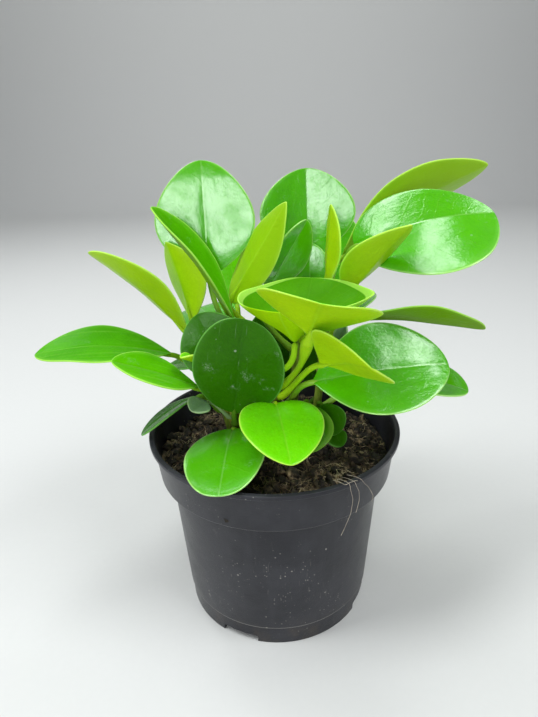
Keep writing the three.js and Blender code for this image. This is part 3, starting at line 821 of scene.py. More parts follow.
# leaves: "heel" and "tip" end the blade, "faces" is its upper side, "z" is where it leaves its stem;
# "joint" is the share of the blade behind its stalk, and angles are in degrees
leafDefaults = {
    "cup": 10, "curl": 10, "swell": 1.12, "heelBlunt": 0.85, "tipBlunt": 0.55,
    "joint": 0.0, "fold": 1.3, "lean": 0.0, "skew": 0.0, "lobes": 0.0, "funnel": 0.0, "fromSide": None,
    "ridge": 1.0, "rolledRim": 0.0, "deepShare": 0.0, "look": "leafMid",
}
leafRows = [
    {"name": "front_low_leaf", "stem": "front", "z": 0.102, "heel": (0.001, -0.018, 0.113),
     "tip": (0.006, -0.057, 0.106), "faces": (0.05, -0.1, 1), "width": 0.036, "cup": 6,
     "curl": 16, "swell": 0.86, "heelBlunt": 0.5, "tipBlunt": 0.62, "lobes": 0.006,
     "look": "leafFresh"},
    {"name": "right_gloss_leaf", "stem": "front", "z": 0.106, "fromSide": (1, 0.1),
     "heel": (0.017, -0.022, 0.125), "tip": (0.076, -0.018, 0.130), "faces": (0.1, -0.8, 0.9),
     "width": 0.044, "cup": 10, "curl": 20, "swell": 1},
    {"name": "funnel_leaf", "stem": "front", "z": 0.113, "fromSide": (1, -0.6),
     "heel": (0.019, -0.031, 0.137), "tip": (0.034, -0.062, 0.148), "faces": (0.62, 0.25, 0.8),
     "width": 0.039, "cup": 8, "curl": 20, "swell": 1.4, "look": "leafFresh"},
    {"name": "boat_leaf", "stem": "front", "z": 0.118, "fromSide": (1, -0.4),
     "heel": (0.014, -0.036, 0.149), "tip": (0.016, -0.068, 0.173), "faces": (0.24, 0.5, 1),
     "width": 0.045, "cup": 9, "curl": 24, "swell": 1.9, "heelBlunt": 1.15, "tipBlunt": 0.36,
     "fold": 1.4, "look": "leafFresh", "ridge": 2.1},
    {"name": "front_left_leaf", "stem": "left_front", "z": 0.088, "heel": (-0.019, -0.013, 0.098),
     "tip": (-0.022, -0.060, 0.095), "faces": (-0.12, -0.25, 1), "width": 0.035, "cup": 4,
     "curl": 20, "swell": 1.05, "heelBlunt": 0.5, "tipBlunt": 0.4},
    {"name": "front_dark_leaf", "stem": "left_front", "z": 0.098, "heel": (-0.018, -0.014, 0.107),
     "tip": (-0.011, -0.025, 0.155), "faces": (0, -1, 0.15), "width": 0.040, "cup": 4, "curl": 8,
     "swell": 1, "heelBlunt": 0.5, "tipBlunt": 0.36, "skew": -0.001, "look": "leafDark"},
    {"name": "silver_leaf", "stem": "left_front", "z": 0.101, "fromSide": (-0.7, -1),
     "heel": (-0.030, -0.014, 0.113), "tip": (-0.036, -0.023, 0.113), "faces": (-0.2, -0.8, 0.7),
     "width": 0.012, "cup": 10, "curl": 16, "look": "leafSilver"},
    {"name": "left_hidden_leaf", "stem": "left_front", "z": 0.104, "fromSide": (1, -0.3),
     "heel": (-0.018, -0.006, 0.118), "tip": (-0.033, 0.000, 0.150), "faces": (0, -1, 0.3),
     "width": 0.032, "cup": 4, "curl": 8, "look": "leafDark"},
    {"name": "left_hang_leaf", "stem": "left", "z": 0.098, "heel": (-0.036, 0.000, 0.109),
     "tip": (-0.062, -0.012, 0.095), "faces": (-0.5, 0.05, 0.85), "width": 0.020, "cup": 5,
     "curl": 24, "look": "leafDark"},
    {"name": "left_front_leaf", "stem": "left", "z": 0.104, "fromSide": (-0.2, -1),
     "heel": (-0.033, -0.014, 0.120), "tip": (-0.066, -0.028, 0.139), "faces": (-0.1, -0.2, 1),
     "width": 0.028, "cup": 8, "curl": 8, "look": "leafSatin"},
    {"name": "left_low_leaf", "stem": "left", "z": 0.109, "heel": (-0.048, 0.010, 0.127),
     "tip": (-0.109, -0.002, 0.133), "faces": (0, -0.2, 1), "width": 0.034, "cup": 8, "curl": 30,
     "deepShare": 0.6, "look": "leafSatin"},
    {"name": "left_long_leaf", "stem": "left", "z": 0.115, "heel": (-0.039, 0.008, 0.138),
     "tip": (-0.078, 0.000, 0.179), "faces": (0.2, 0.5, 0.85), "width": 0.032, "cup": 12,
     "curl": 20, "deepShare": 0.3, "look": "leafFresh"},
    {"name": "curled_leaf", "stem": "left_front", "z": 0.105, "fromSide": (0.3, -1),
     "heel": (-0.031, -0.014, 0.132), "tip": (-0.039, -0.020, 0.137), "faces": (0, 0.2, 1),
     "width": 0.010, "cup": 30, "curl": 10, "look": "leafFresh"},
    {"name": "left_small_leaf", "stem": "left", "z": 0.122, "heel": (-0.037, 0.012, 0.142),
     "tip": (-0.047, 0.015, 0.180), "faces": (0.5, 0.8, 0.5), "width": 0.027, "cup": 20,
     "curl": 10, "tipBlunt": 0.8, "look": "leafFresh"},
    {"name": "bowl_leaf", "stem": "middle", "z": 0.113, "fromSide": (0.4, -1),
     "heel": (0.003, -0.042, 0.164), "tip": (0.018, -0.005, 0.167), "faces": (-0.04, 0, 1),
     "width": 0.060, "cup": 20, "curl": -110, "joint": 0.4, "swell": 1, "heelBlunt": 0.35,
     "tipBlunt": 0.35, "fold": 2.2, "lean": 0.1, "funnel": 0.010, "look": "leafCuppedShaded",
     "rolledRim": 1.1},
    {"name": "top_left_leaf", "stem": "middle", "z": 0.122, "heel": (-0.029, 0.020, 0.162),
     "tip": (-0.030, 0.028, 0.214), "faces": (0, -1, 0.15), "width": 0.047, "cup": 4, "curl": 4,
     "swell": 0.95},
    {"name": "left_fold_leaf", "stem": "middle", "z": 0.128, "heel": (-0.017, 0.008, 0.143),
     "tip": (-0.049, 0.000, 0.197), "faces": (0.85, -0.1, 0.4), "width": 0.025, "cup": 25,
     "curl": 10, "look": "leafSatin"},
    {"name": "up_yellow_leaf", "stem": "middle", "z": 0.134, "fromSide": (0, 1),
     "heel": (-0.019, 0.014, 0.151), "tip": (0.008, 0.005, 0.197), "faces": (0.9, 0.5, 0.1),
     "width": 0.026, "cup": 15, "curl": 4, "swell": 0.9, "heelBlunt": 0.55, "tipBlunt": 0.8,
     "lean": 0.2, "deepShare": 0.9, "look": "leafFresh"},
    {"name": "up_dark_leaf", "stem": "back", "z": 0.124, "heel": (-0.004, 0.017, 0.153),
     "tip": (0.017, 0.016, 0.188), "faces": (0.75, -0.6, 0.3), "width": 0.024, "cup": 16,
     "curl": 8},
    {"name": "up_narrow_leaf", "stem": "back", "z": 0.129, "heel": (0.026, 0.008, 0.158),
     "tip": (0.027, 0.010, 0.195), "faces": (0.97, 0.2, 0.1), "width": 0.022, "cup": 10,
     "curl": 4, "tipBlunt": 0.7, "look": "leafFresh"},
    {"name": "top_centre_leaf", "stem": "back", "z": 0.133, "heel": (0.019, 0.030, 0.166),
     "tip": (0.018, 0.034, 0.209), "faces": (0, -1, 0.1), "width": 0.046, "cup": 6, "curl": 6,
     "swell": 1.1},
    {"name": "up_shade_leaf", "stem": "back", "z": 0.137, "fromSide": (0.4, -1),
     "heel": (0.019, 0.021, 0.150), "tip": (0.019, 0.024, 0.176), "faces": (0, -1, 0.3),
     "width": 0.020, "cup": 6, "curl": 8},
    {"name": "right_long_leaf", "stem": "right", "z": 0.111, "fromSide": (1, -0.6),
     "heel": (0.038, 0.000, 0.147), "tip": (0.094, -0.008, 0.142), "faces": (0, 0.42, 0.9),
     "width": 0.038, "cup": 10, "curl": 8, "look": "leafSatin"},
    {"name": "bud_leaf", "stem": "right", "z": 0.117, "fromSide": (-0.3, -1),
     "heel": (0.030, -0.004, 0.134), "tip": (0.033, -0.006, 0.145), "faces": (0, -0.5, 1),
     "width": 0.008, "cup": 30, "curl": 10, "look": "leafSilver"},
    {"name": "right_near_leaf", "stem": "right", "z": 0.124, "fromSide": (0.2, -1),
     "heel": (0.034, -0.005, 0.161), "tip": (0.055, -0.021, 0.190), "faces": (-0.6, 0.8, 0.8),
     "width": 0.031, "cup": 16, "curl": 0, "swell": 0.9, "heelBlunt": 0.55, "tipBlunt": 0.8,
     "look": "leafFresh"},
    {"name": "right_big_leaf", "stem": "right", "z": 0.129, "fromSide": (1, 0),
     "heel": (0.040, 0.020, 0.175), "tip": (0.097, 0.005, 0.190), "faces": (-0.1, -0.9, 0.9),
     "width": 0.048, "cup": 10, "curl": 40, "swell": 1, "heelBlunt": 0.5, "lean": 0.3,
     "skew": 0.008},
    {"name": "right_top_leaf", "stem": "right", "z": 0.135, "heel": (0.035, 0.032, 0.167),
     "tip": (0.098, 0.021, 0.209), "faces": (-0.6, 0.9, 0.6), "width": 0.037, "cup": 15,
     "curl": 25, "swell": 1.15, "tipBlunt": 0.66, "deepShare": 0.9, "look": "leafFresh"},
    {"name": "low_small_leaf", "stem": "low_right", "z": 0.086, "heel": (0.026, -0.012, 0.096),
     "tip": (0.031, -0.018, 0.090), "faces": (0.3, -0.6, 0.7), "width": 0.011, "cup": 6,
     "curl": 16, "look": "leafDark"},
    {"name": "low_shade_leaf", "stem": "low_right", "z": 0.092, "heel": (0.022, -0.010, 0.108),
     "tip": (0.029, -0.017, 0.096), "faces": (0.3, -0.8, 0.6), "width": 0.016, "cup": 6,
     "curl": 16, "heelBlunt": 0.6, "look": "leafDark"},
    {"name": "low_dark_leaf", "stem": "low_right", "z": 0.096, "fromSide": (-0.5, -1),
     "heel": (0.015, -0.0165, 0.112), "tip": (0.0145, -0.031, 0.095),
     "faces": (0.15, -0.8, 0.6), "width": 0.023, "cup": 6, "curl": 16, "swell": 1,
     "heelBlunt": 0.6, "look": "leafWorn"},
    {"name": "right_behind_leaf", "stem": "low_right", "z": 0.102, "heel": (0.058, -0.005, 0.119),
     "tip": (0.086, -0.018, 0.116), "faces": (0.2, -0.3, 1), "width": 0.026, "cup": 8,
     "curl": 20},
    {"name": "inner_left_leaf", "stem": "rear_left", "z": 0.084, "fromSide": (1, 0),
     "heel": (0.001, 0.032, 0.096), "tip": (0.001, 0.034, 0.143), "faces": (0, -1, 0.2),
     "width": 0.034, "cup": 4, "curl": 8, "swell": 1, "look": "leafDark"},
    {"name": "inner_right_leaf", "stem": "back", "z": 0.088, "fromSide": (1, 0.3),
     "heel": (0.025, 0.027, 0.098), "tip": (0.026, 0.029, 0.136), "faces": (0, -1, 0.2),
     "width": 0.034, "cup": 4, "curl": 8, "swell": 1, "look": "leafDark"},
    {"name": "rear_side_leaf", "stem": "rear_left", "z": 0.106, "heel": (-0.029, 0.033, 0.112),
     "tip": (-0.060, 0.048, 0.104), "faces": (-0.3, 0.1, 1), "width": 0.030, "cup": 8, "curl": 20,
     "look": "leafDark"},
    {"name": "rear_low_leaf", "stem": "rear_left", "z": 0.101, "heel": (-0.012, 0.047, 0.108),
     "tip": (-0.008, 0.088, 0.098), "faces": (0, 0.3, 1), "width": 0.036, "cup": 6, "curl": 20,
     "look": "leafDark"},
    {"name": "rear_left_leaf", "stem": "rear_left", "z": 0.112, "heel": (-0.026, 0.047, 0.122),
     "tip": (-0.044, 0.084, 0.128), "faces": (-0.2, 0.2, 1), "width": 0.038, "cup": 10,
     "curl": 24},
    {"name": "rear_upright_leaf", "stem": "rear_left", "z": 0.117, "heel": (-0.018, 0.048, 0.139),
     "tip": (-0.024, 0.066, 0.182), "faces": (0.1, -0.8, 0.5), "width": 0.036, "cup": 10,
     "curl": -14, "look": "leafFresh"},
    {"name": "rear_right_low_leaf", "stem": "rear_right", "z": 0.101,
     "heel": (0.031, 0.043, 0.108), "tip": (0.062, 0.058, 0.104), "faces": (0.2, 0.1, 1),
     "width": 0.032, "cup": 6, "curl": 18},
    {"name": "rear_centre_leaf", "stem": "rear_right", "z": 0.106, "heel": (0.016, 0.055, 0.119),
     "tip": (0.014, 0.094, 0.130), "faces": (0, 0.2, 1), "width": 0.036, "cup": 10, "curl": 26,
     "look": "leafFresh"},
    {"name": "rear_right_leaf", "stem": "rear_right", "z": 0.112, "heel": (0.029, 0.050, 0.126),
     "tip": (0.056, 0.078, 0.138), "faces": (0.2, 0.2, 1), "width": 0.036, "cup": 10,
     "curl": 24},
    {"name": "rear_top_leaf", "stem": "rear_right", "z": 0.117, "fromSide": (0.6, 1),
     "heel": (0.023, 0.049, 0.141), "tip": (0.040, 0.062, 0.184), "faces": (-0.2, -0.8, 0.5),
     "width": 0.038, "cup": 8, "curl": -12},
]

# the rim colour is the pale margin's, whitened in part as a painted highlight; it also paints the
# highlight band and the gloss streaks
leafLooks = {
    "leafFresh": {
        "slot": "young_leaf", "top": (0.165, 0.68, 0.002), "deep": (0.120, 0.56, 0.002),
        "under": (0.45, 0.69, 0.001), "underDeep": (0.28, 0.52, 0.001), "rim": (0.56, 0.88, 0.10),
        "rough": (0.22, 0.32), "shine": 0.30, "coat": 0.30,
        "marks": 0.06, "veins": 0.06, "midrib": 0.20, "band": 0.10, "bandEdge": 0.4,
        "streaks": 0.0,
    },
    # the bowl leaf: darker top colours as painted shade inside the cup, and a wide painted highlight
    # band on the rolled rim
    "leafCuppedShaded": {
        "slot": "young_leaf", "top": (0.078, 0.31, 0.001), "deep": (0.056, 0.24, 0.001),
        "under": (0.34, 0.60, 0.002), "underDeep": (0.25, 0.50, 0.002), "rim": (0.50, 0.88, 0.12),
        "rough": (0.40, 0.50), "shine": 0.045, "coat": 0.0,
        "marks": 0.05, "veins": 0.05, "midrib": 0.04, "band": 0.55, "bandEdge": 2.9,
        "streaks": 0.0,
    },
    "leafMid": {
        "slot": "leaf", "top": (0.084, 0.44, 0.001), "deep": (0.054, 0.33, 0.001),
        "under": (0.24, 0.45, 0.003), "underDeep": (0.17, 0.36, 0.003), "rim": (0.46, 0.80, 0.22),
        "rough": (0.17, 0.26), "shine": 0.50, "coat": 0.90,
        "marks": 0.16, "veins": 0.06, "midrib": 0.22, "band": 0.10, "bandEdge": 0.4,
        "streaks": 0.0,
    },
    "leafSatin": {
        "slot": "leaf", "top": (0.100, 0.46, 0.001), "deep": (0.056, 0.31, 0.001),
        "under": (0.16, 0.34, 0.001), "underDeep": (0.11, 0.26, 0.001), "rim": (0.44, 0.80, 0.12),
        "rough": (0.28, 0.38), "shine": 0.035, "coat": 0.02,
        "marks": 0.12, "veins": 0.06, "midrib": 0.15, "band": 0.10, "bandEdge": 0.4,
        "streaks": 0.11,
    },
    "leafDark": {
        "slot": "old_leaf", "top": (0.036, 0.170, 0.001), "deep": (0.020, 0.110, 0.001),
        "under": (0.11, 0.25, 0.006), "underDeep": (0.07, 0.18, 0.005), "rim": (0.16, 0.42, 0.08),
        "rough": (0.22, 0.34), "shine": 0.10, "coat": 0.05,
        "marks": 0.50, "veins": 0.05, "midrib": 0.05, "band": 0.10, "bandEdge": 0.4,
        "streaks": 0.0,
    },
    "leafWorn": {
        "slot": "old_leaf", "top": (0.066, 0.270, 0.004), "deep": (0.036, 0.170, 0.002),
        "under": (0.14, 0.28, 0.006), "underDeep": (0.09, 0.20, 0.005), "rim": (0.28, 0.56, 0.07),
        "rough": (0.26, 0.36), "shine": 0.07, "coat": 0.03,
        "marks": 0.20, "veins": 0.05, "midrib": 0.05, "band": 0.35, "bandEdge": 1.6,
        "streaks": 0.0,
    },
    "leafSilver": {
        "slot": "old_leaf", "top": (0.20, 0.34, 0.17), "deep": (0.11, 0.22, 0.09),
        "under": (0.30, 0.44, 0.20), "underDeep": (0.20, 0.32, 0.13), "rim": (0.40, 0.56, 0.28),
        "rough": (0.34, 0.46), "shine": 0.40, "coat": 0.20,
        "marks": 0.70, "veins": 0.10, "midrib": 0.10, "band": 0.10, "bandEdge": 0.4,
        "streaks": 0.0,
    },
}
blade = {
    "thickness": 0.0014,
    "columns": 44,
    "rows": 30,
    "middlePull": 1.6,
    "rimRound": 0.38,
    "grooveDepth": 0.00030,
    "grooveWidth": 0.0009,
    "keelHeight": 0.0009,
    "keelWidth": 0.0013,
    "waveHeight": 0.0007,
    "waveScale": 55.0,
    "edgeWave": 0.0006,
    "funnelSpread": 0.008,
    "fullWidth": 0.024,
    "beadWidth": 0.0035,
    "dust": (0.52, 0.60, 0.48),
}
stalk = {
    "radius": 0.0015,
    "baseSwell": 1.45,
    "farTaper": 0.12,
    "smallLeaf": 0.015,
    "smallShare": 0.6,
    "offStem": 0.0013,
    "sunk": 0.0005,
    "sides": 12,
    "steps": 16,
    "ridge": ((0.05, 0.86), (0.11, 0.68), (0.19, 0.50), (0.30, 0.30)),
    "funnelRidge": ((0.02, 0.8),),
    "green": (0.46, 0.62, 0.002),
    "pale": (0.58, 0.74, 0.008),
    "flush": (0.26, 0.13, 0.012),
}


def leafMaterial(name, look):
    material, tree, shader = newMaterial(name)
    coordinates = addNode(tree, "ShaderNodeTexCoord").outputs["Object"]
    leafMap = addNode(tree, "ShaderNodeAttribute", attribute_name="leafMap").outputs["Vector"]
    upper = addNode(tree, "ShaderNodeAttribute", attribute_name="upper").outputs["Fac"]
    place = addNode(tree, "ShaderNodeSeparateXYZ", {"Vector": leafMap}).outputs  # millimetres
    along, across, edge = place["X"], sums(tree, "ABSOLUTE", place["Y"]), place["Z"]
    onTop = mapped(tree, upper, 0.42, 0.58)
    # base colours, with slow patches and a fine mottle
    patches = cloudMask(tree, coordinates, 36.0, 0.34, 0.70)
    mottle = mapped(tree, noiseAt(tree, coordinates, 900.0, 3.0, 0.6), 0.35, 0.7)
    # each leaf's own shift towards its deeper colours
    deepShare = addNode(tree, "ShaderNodeAttribute", attribute_name="deepShare").outputs["Fac"]
    share = sums(tree, "MULTIPLY_ADD", mottle, 0.20, sums(tree, "MULTIPLY", patches, 0.45))
    share = sums(tree, "ADD", share, deepShare)
    topColour = mixed(tree, share, look["top"], look["deep"])
    underColour = mixed(tree, share, look["under"], look["underDeep"])
    # faint side veins leave the midrib and sweep towards the tip
    sweepPhase = sums(tree, "MULTIPLY_ADD", sums(tree, "POWER", across, 0.85), -1.15, along)
    wander = sums(tree, "MULTIPLY", noiseAt(tree, coordinates, 70.0, 2.0), 9.0)
    phase = sums(tree, "FRACT", sums(tree, "DIVIDE", sums(tree, "ADD", sweepPhase, wander), 7.1))
    offLine = sums(tree, "ABSOLUTE", sums(tree, "SUBTRACT", phase, 0.5))
    vein = sums(tree, "MULTIPLY", mapped(tree, offLine, 0.085, 0.0), mapped(tree, edge, 1.5, 6.0))
    vein = sums(tree, "MULTIPLY", vein, cloudMask(tree, coordinates, 90.0, 0.35, 0.60))
    midrib = mapped(tree, across, 0.55, 0.08)
    topColour = mixed(tree, sums(tree, "MULTIPLY", vein, look["veins"]), topColour, look["under"])
    topColour = mixed(tree, sums(tree, "MULTIPLY", midrib, look["midrib"]), topColour, look["rim"])
    shade = mapped(tree, across, 1.6, 0.3)
    topColour = mixed(tree, sums(tree, "MULTIPLY", shade, 0.25), topColour, look["deep"])
    underColour = mixed(tree, sums(tree, "MULTIPLY", shade, 0.40), underColour, look["underDeep"])
    underColour = mixed(tree, sums(tree, "MULTIPLY", midrib, 0.08), underColour, look["rim"])
    colour = mixed(tree, onTop, underColour, topColour)
    # the thin pale margin, its colour whitened in part as a painted highlight along the edge
    heelFade = mapped(tree, along, 2.0, 7.0)
    margin = sums(tree, "MULTIPLY", mapped(tree, edge, 0.90, 0.20), heelFade)
    colour = mixed(tree, sums(tree, "MULTIPLY", margin, 0.75), colour, look["rim"])
    # a wider pale band inside the margin: a painted highlight along the rim, strongest on the bowl
    # leaf's rolled rim
    band = sums(tree, "MULTIPLY", mapped(tree, edge, 3.4, look["bandEdge"]), heelFade)
    colour = mixed(tree, sums(tree, "MULTIPLY", band, look["band"]), colour, look["rim"])
    # pale streaks that run lengthwise on the top side: painted gloss highlights
    streaks = noiseAt(tree, stretched(tree, leafMap, (0.02, 0.50, 0)), 1.0, 2.0)
    streaks = sums(tree, "MULTIPLY", mapped(tree, streaks, 0.50, 0.72), look["streaks"])
    colour = mixed(tree, sums(tree, "MULTIPLY", streaks, onTop), colour, look["rim"])
    # water marks, dust, scratches and small scars
    groups = cloudMask(tree, coordinates, 125.0, 0.59, 0.70)
    specks = speckMask(tree, coordinates, 900.0, 0.5, 0.40)
    film = mapped(tree, noiseAt(tree, coordinates, 1300.0, 4.0, 0.7), 0.42, 0.66)
    dusty = sums(tree, "MAXIMUM", specks, sums(tree, "MULTIPLY", film, 0.8))
    dusty = sums(tree, "MULTIPLY", groups, dusty)
    dusty = sums(tree, "MAXIMUM", dusty, speckMask(tree, coordinates, 260.0, 0.20, 0.08))
    scratches = noiseAt(tree, stretched(tree, leafMap, (0.05, 0.9, 0)), 1.0, 2.0)
    scratches = mapped(tree, scratches, 0.64, 0.74)
    slanted = addNode(tree, "ShaderNodeMapping", {"Vector": leafMap, "Rotation": (0, 0, 1.1)})
    slanted = noiseAt(tree, stretched(tree, slanted.outputs["Vector"], (0.07, 1.3, 0)), 1.0, 2.0)
    scratches = sums(tree, "MAXIMUM", scratches, mapped(tree, slanted, 0.66, 0.74))
    worn = cloudMask(tree, coordinates, 60.0, 0.50, 0.62)
    scratches = sums(tree, "MULTIPLY", scratches, sums(tree, "MULTIPLY", worn, 0.55))
    dusty = sums(tree, "MAXIMUM", dusty, scratches)
    dusty = sums(tree, "MULTIPLY", dusty, look["marks"])
    dusty = sums(tree, "MULTIPLY", dusty, mapped(tree, onTop, 0.0, 1.0, 0.25, 1.0))
    colour = mixed(tree, dusty, colour, blade["dust"])
    # the waxy top is glossy, the underside is satin
    low, high = look["rough"]
    gloss = mapped(tree, noiseAt(tree, coordinates, 240.0, 4.0, 0.6), 0.3, 0.7, low, high)
    rough = addNode(tree, "ShaderNodeMix", {0: onTop, 2: 0.44, 3: gloss}).outputs[0]
    rough = sums(tree, "MULTIPLY_ADD", dusty, 0.30, rough)
    wrinkles = noiseAt(tree, stretched(tree, leafMap, (0.10, 0.26, 0)), 1.0, 3.0, 0.55)
    skin = bumpFrom(tree, wrinkles, 0.0012, 0.20)
    inputs = {"Height": skinHeight(tree, coordinates, 850.0, 260.0, 0.70), "Distance": 0.0004}
    inputs |= {"Strength": 0.7, "Normal": skin}
    skin = addNode(tree, "ShaderNodeBump", inputs).outputs["Normal"]
    inputs = {"Height": vein, "Distance": -0.00004, "Strength": 0.8, "Normal": skin}
    skin = addNode(tree, "ShaderNodeBump", inputs).outputs["Normal"]
    tree.links.new(colour, shader.inputs["Base Color"])
    tree.links.new(rough, shader.inputs["Roughness"])
    tree.links.new(skin, shader.inputs["Normal"])
    cloudy = mapped(tree, noiseAt(tree, coordinates, 95.0, 5.0, 0.65), 0.36, 0.62, 0.35, 1.0)
    coat = sums(tree, "MULTIPLY", sums(tree, "MULTIPLY", onTop, cloudy), look["coat"])
    tree.links.new(coat, shader.inputs["Coat Weight"])
    shader.inputs["Specular IOR Level"].default_value = look["shine"]
    shader.inputs["Specular Tint"].default_value = (0.86, 1.0, 0.78, 1)
    shader.inputs["Subsurface Weight"].default_value = 0.15
    shader.inputs["Subsurface Radius"].default_value = (0.6, 1.0, 0.1)
    shader.inputs["Subsurface Scale"].default_value = 0.0015
    shader.inputs["Coat Roughness"].default_value = 0.14
    return material


def stalkMaterial(name, colours):
    # the attribute flush is how red a place is
    material, tree, shader = newMaterial(name)
    coordinates = addNode(tree, "ShaderNodeTexCoord").outputs["Object"]
    flush = addNode(tree, "ShaderNodeAttribute", attribute_name="flush").outputs["Fac"]
    lengthwise = noiseAt(tree, stretched(tree, coordinates, (1, 1, 0.2)), 700.0, 3.0)
    colour = mixed(tree, mapped(tree, lengthwise, 0.35, 0.7), colours["green"], colours["pale"])
    patches = cloudMask(tree, coordinates, 260.0, 0.3, 0.7)
    red = sums(tree, "MULTIPLY", flush, mapped(tree, patches, 0.0, 1.0, 0.55, 1.0))
    colour = mixed(tree, red, colour, colours["flush"])
    dots = speckMask(tree, coordinates, 1300.0, 0.4, 0.35)
    colour = mixed(tree, sums(tree, "MULTIPLY", dots, 0.35), colour, colours["pale"])
    relief = skinHeight(tree, coordinates, 1900.0, 500.0, 0.6)
    tree.links.new(colour, shader.inputs["Base Color"])
    tree.links.new(mapped(tree, lengthwise, 0.3, 0.7, 0.30, 0.45), shader.inputs["Roughness"])
    tree.links.new(bumpFrom(tree, relief, 0.0003, 0.6), shader.inputs["Normal"])
    shader.inputs["Specular IOR Level"].default_value = 0.22
    shader.inputs["Specular Tint"].default_value = (0.95, 1.0, 0.55, 1)
    shader.inputs["Subsurface Weight"].default_value = 0.2
    shader.inputs["Subsurface Radius"].default_value = (0.8, 1.0, 0.3)
    shader.inputs["Subsurface Scale"].default_value = 0.0015
    return material


def middleLine(leaf, s):
    # point, direction and upper side of the blade's middle line, an arc from heel to tip
    heel = Vector(leaf["heel"])
    chord = Vector(leaf["tip"]) - heel
    along = chord.normalized()
    up = Vector(leaf["faces"])
    up = (up - along * up.dot(along)).normalized()
    bend = math.radians(leaf["curl"])
    half = bend / 2
    angle = half - bend * s
    if abs(bend) < 0.001:
        return heel + chord * s, along, up
    scale = chord.length / (2 * math.sin(half))
    point = heel + along * scale * (math.sin(half) - math.sin(angle))
    point += up * scale * (math.cos(angle) - math.cos(half))
    ahead = along * math.cos(angle) + up * math.sin(angle)
    return point, ahead, up * math.cos(angle) - along * math.sin(angle)


def bladePoint(leaf, s, v):
    # a point of the blade's middle surface: s runs from heel to tip, v from side to side
    point, along, up = middleLine(leaf, s)
    power = leaf["heelBlunt"] * (1 - s) + leaf["tipBlunt"] * s
    outline = max(0.0, math.sin(math.pi * s ** leaf["swell"])) ** power
    sideWidth = leaf["width"] / 2 * (1 + leaf["lean"] * v)
    reach = abs(v) * outline
    cup = math.radians(leaf["cup"])
    point = point + along.cross(up) * (v * outline * sideWidth * math.cos(cup))
    point += up * (sideWidth * math.sin(cup) * reach ** leaf["fold"])
    point += along * (leaf["skew"] * v * outline)
    point -= along * (leaf["lobes"] * reach * (1 - s) ** 2)
    if leaf["funnel"]:
        joint, _, jointUp = middleLine(leaf, leaf["joint"])
        away = point - joint
        away -= jointUp * away.dot(jointUp)
        point -= jointUp * (leaf["funnel"] * math.exp(-away.length / blade["funnelSpread"]))
    return point, outline * leaf["width"] / 2


def makeBlade(bm, leaf, seed):
    leafMap = bm.verts.layers.float_vector["leafMap"]
    upper = bm.verts.layers.float["upper"]
    deepShare = bm.verts.layers.float["deepShare"]
    length = (Vector(leaf["tip"]) - Vector(leaf["heel"])).length
    size = min(1.0, leaf["width"] / blade["fullWidth"])  # small leaves have less relief
    shift = Vector((seed * 3.1, seed * 1.7, seed * 2.3))
    made = bmesh.ops.create_uvsphere(bm, u_segments=blade["columns"], v_segments=blade["rows"], radius=1)
    step = 0.01
    for vert in made["verts"]:
        x, y, z = vert.co
        ring = math.hypot(x, y)
        s = (1 + z) / 2
        v = x / ring if ring > 1e-6 else 0.0
        v = math.copysign(abs(v) ** blade["middlePull"], v)
        side = y / ring if ring > 1e-6 else 0.0
        s0 = min(1 - 2 * step, max(2 * step, s))
        v0 = 0.9 * v
        ds = bladePoint(leaf, s0 + step, v0)[0] - bladePoint(leaf, s0 - step, v0)[0]
        dv = bladePoint(leaf, s0, v0 + step)[0] - bladePoint(leaf, s0, v0 - step)[0]
        normal = dv.cross(ds).normalized()
        point, halfWidth = bladePoint(leaf, s, v)
        across = v * halfWidth
        fullness = math.copysign(abs(side) ** blade["rimRound"], side) * ring ** blade["rimRound"]
        bead = leaf["rolledRim"] * smoothStep(blade["beadWidth"], 0.0005, (1 - abs(v)) * halfWidth)
        bead *= smoothStep(0.45, 0.75, s)
        lift = fullness * (1 + bead) * blade["thickness"] / 2
        groove = math.exp(-((across / blade["grooveWidth"]) ** 2)) * (1 - s**4) * size
        keel = math.exp(-((across / blade["keelWidth"]) ** 2)) * size
        keel *= smoothStep(0.75, 0.0, abs(s - leaf["joint"]))
        if side > 0.01:
            lift -= blade["grooveDepth"] * groove * abs(side)
        elif side < -0.01:
            lift -= blade["keelHeight"] * keel * abs(side) * ring
        wave = noise.noise(point * blade["waveScale"] + shift)
        edgeWave = noise.noise(Vector((s * 4.0, math.copysign(1.5, v), seed * 7.7))) * abs(v) ** 2
        lift += (blade["waveHeight"] * wave + blade["edgeWave"] * edgeWave) * size * min(1.0, 6 * s)
        vert.co = point + normal * lift
        vert[leafMap] = (s * length * 1000, across * 1000, (1 - abs(v)) * halfWidth * 1000)
        vert[upper] = 0.5 + 0.5 * max(-1.0, min(1.0, side * 3))
        vert[deepShare] = leaf["deepShare"]
    bmesh.ops.recalc_face_normals(bm, faces=bm.faces)


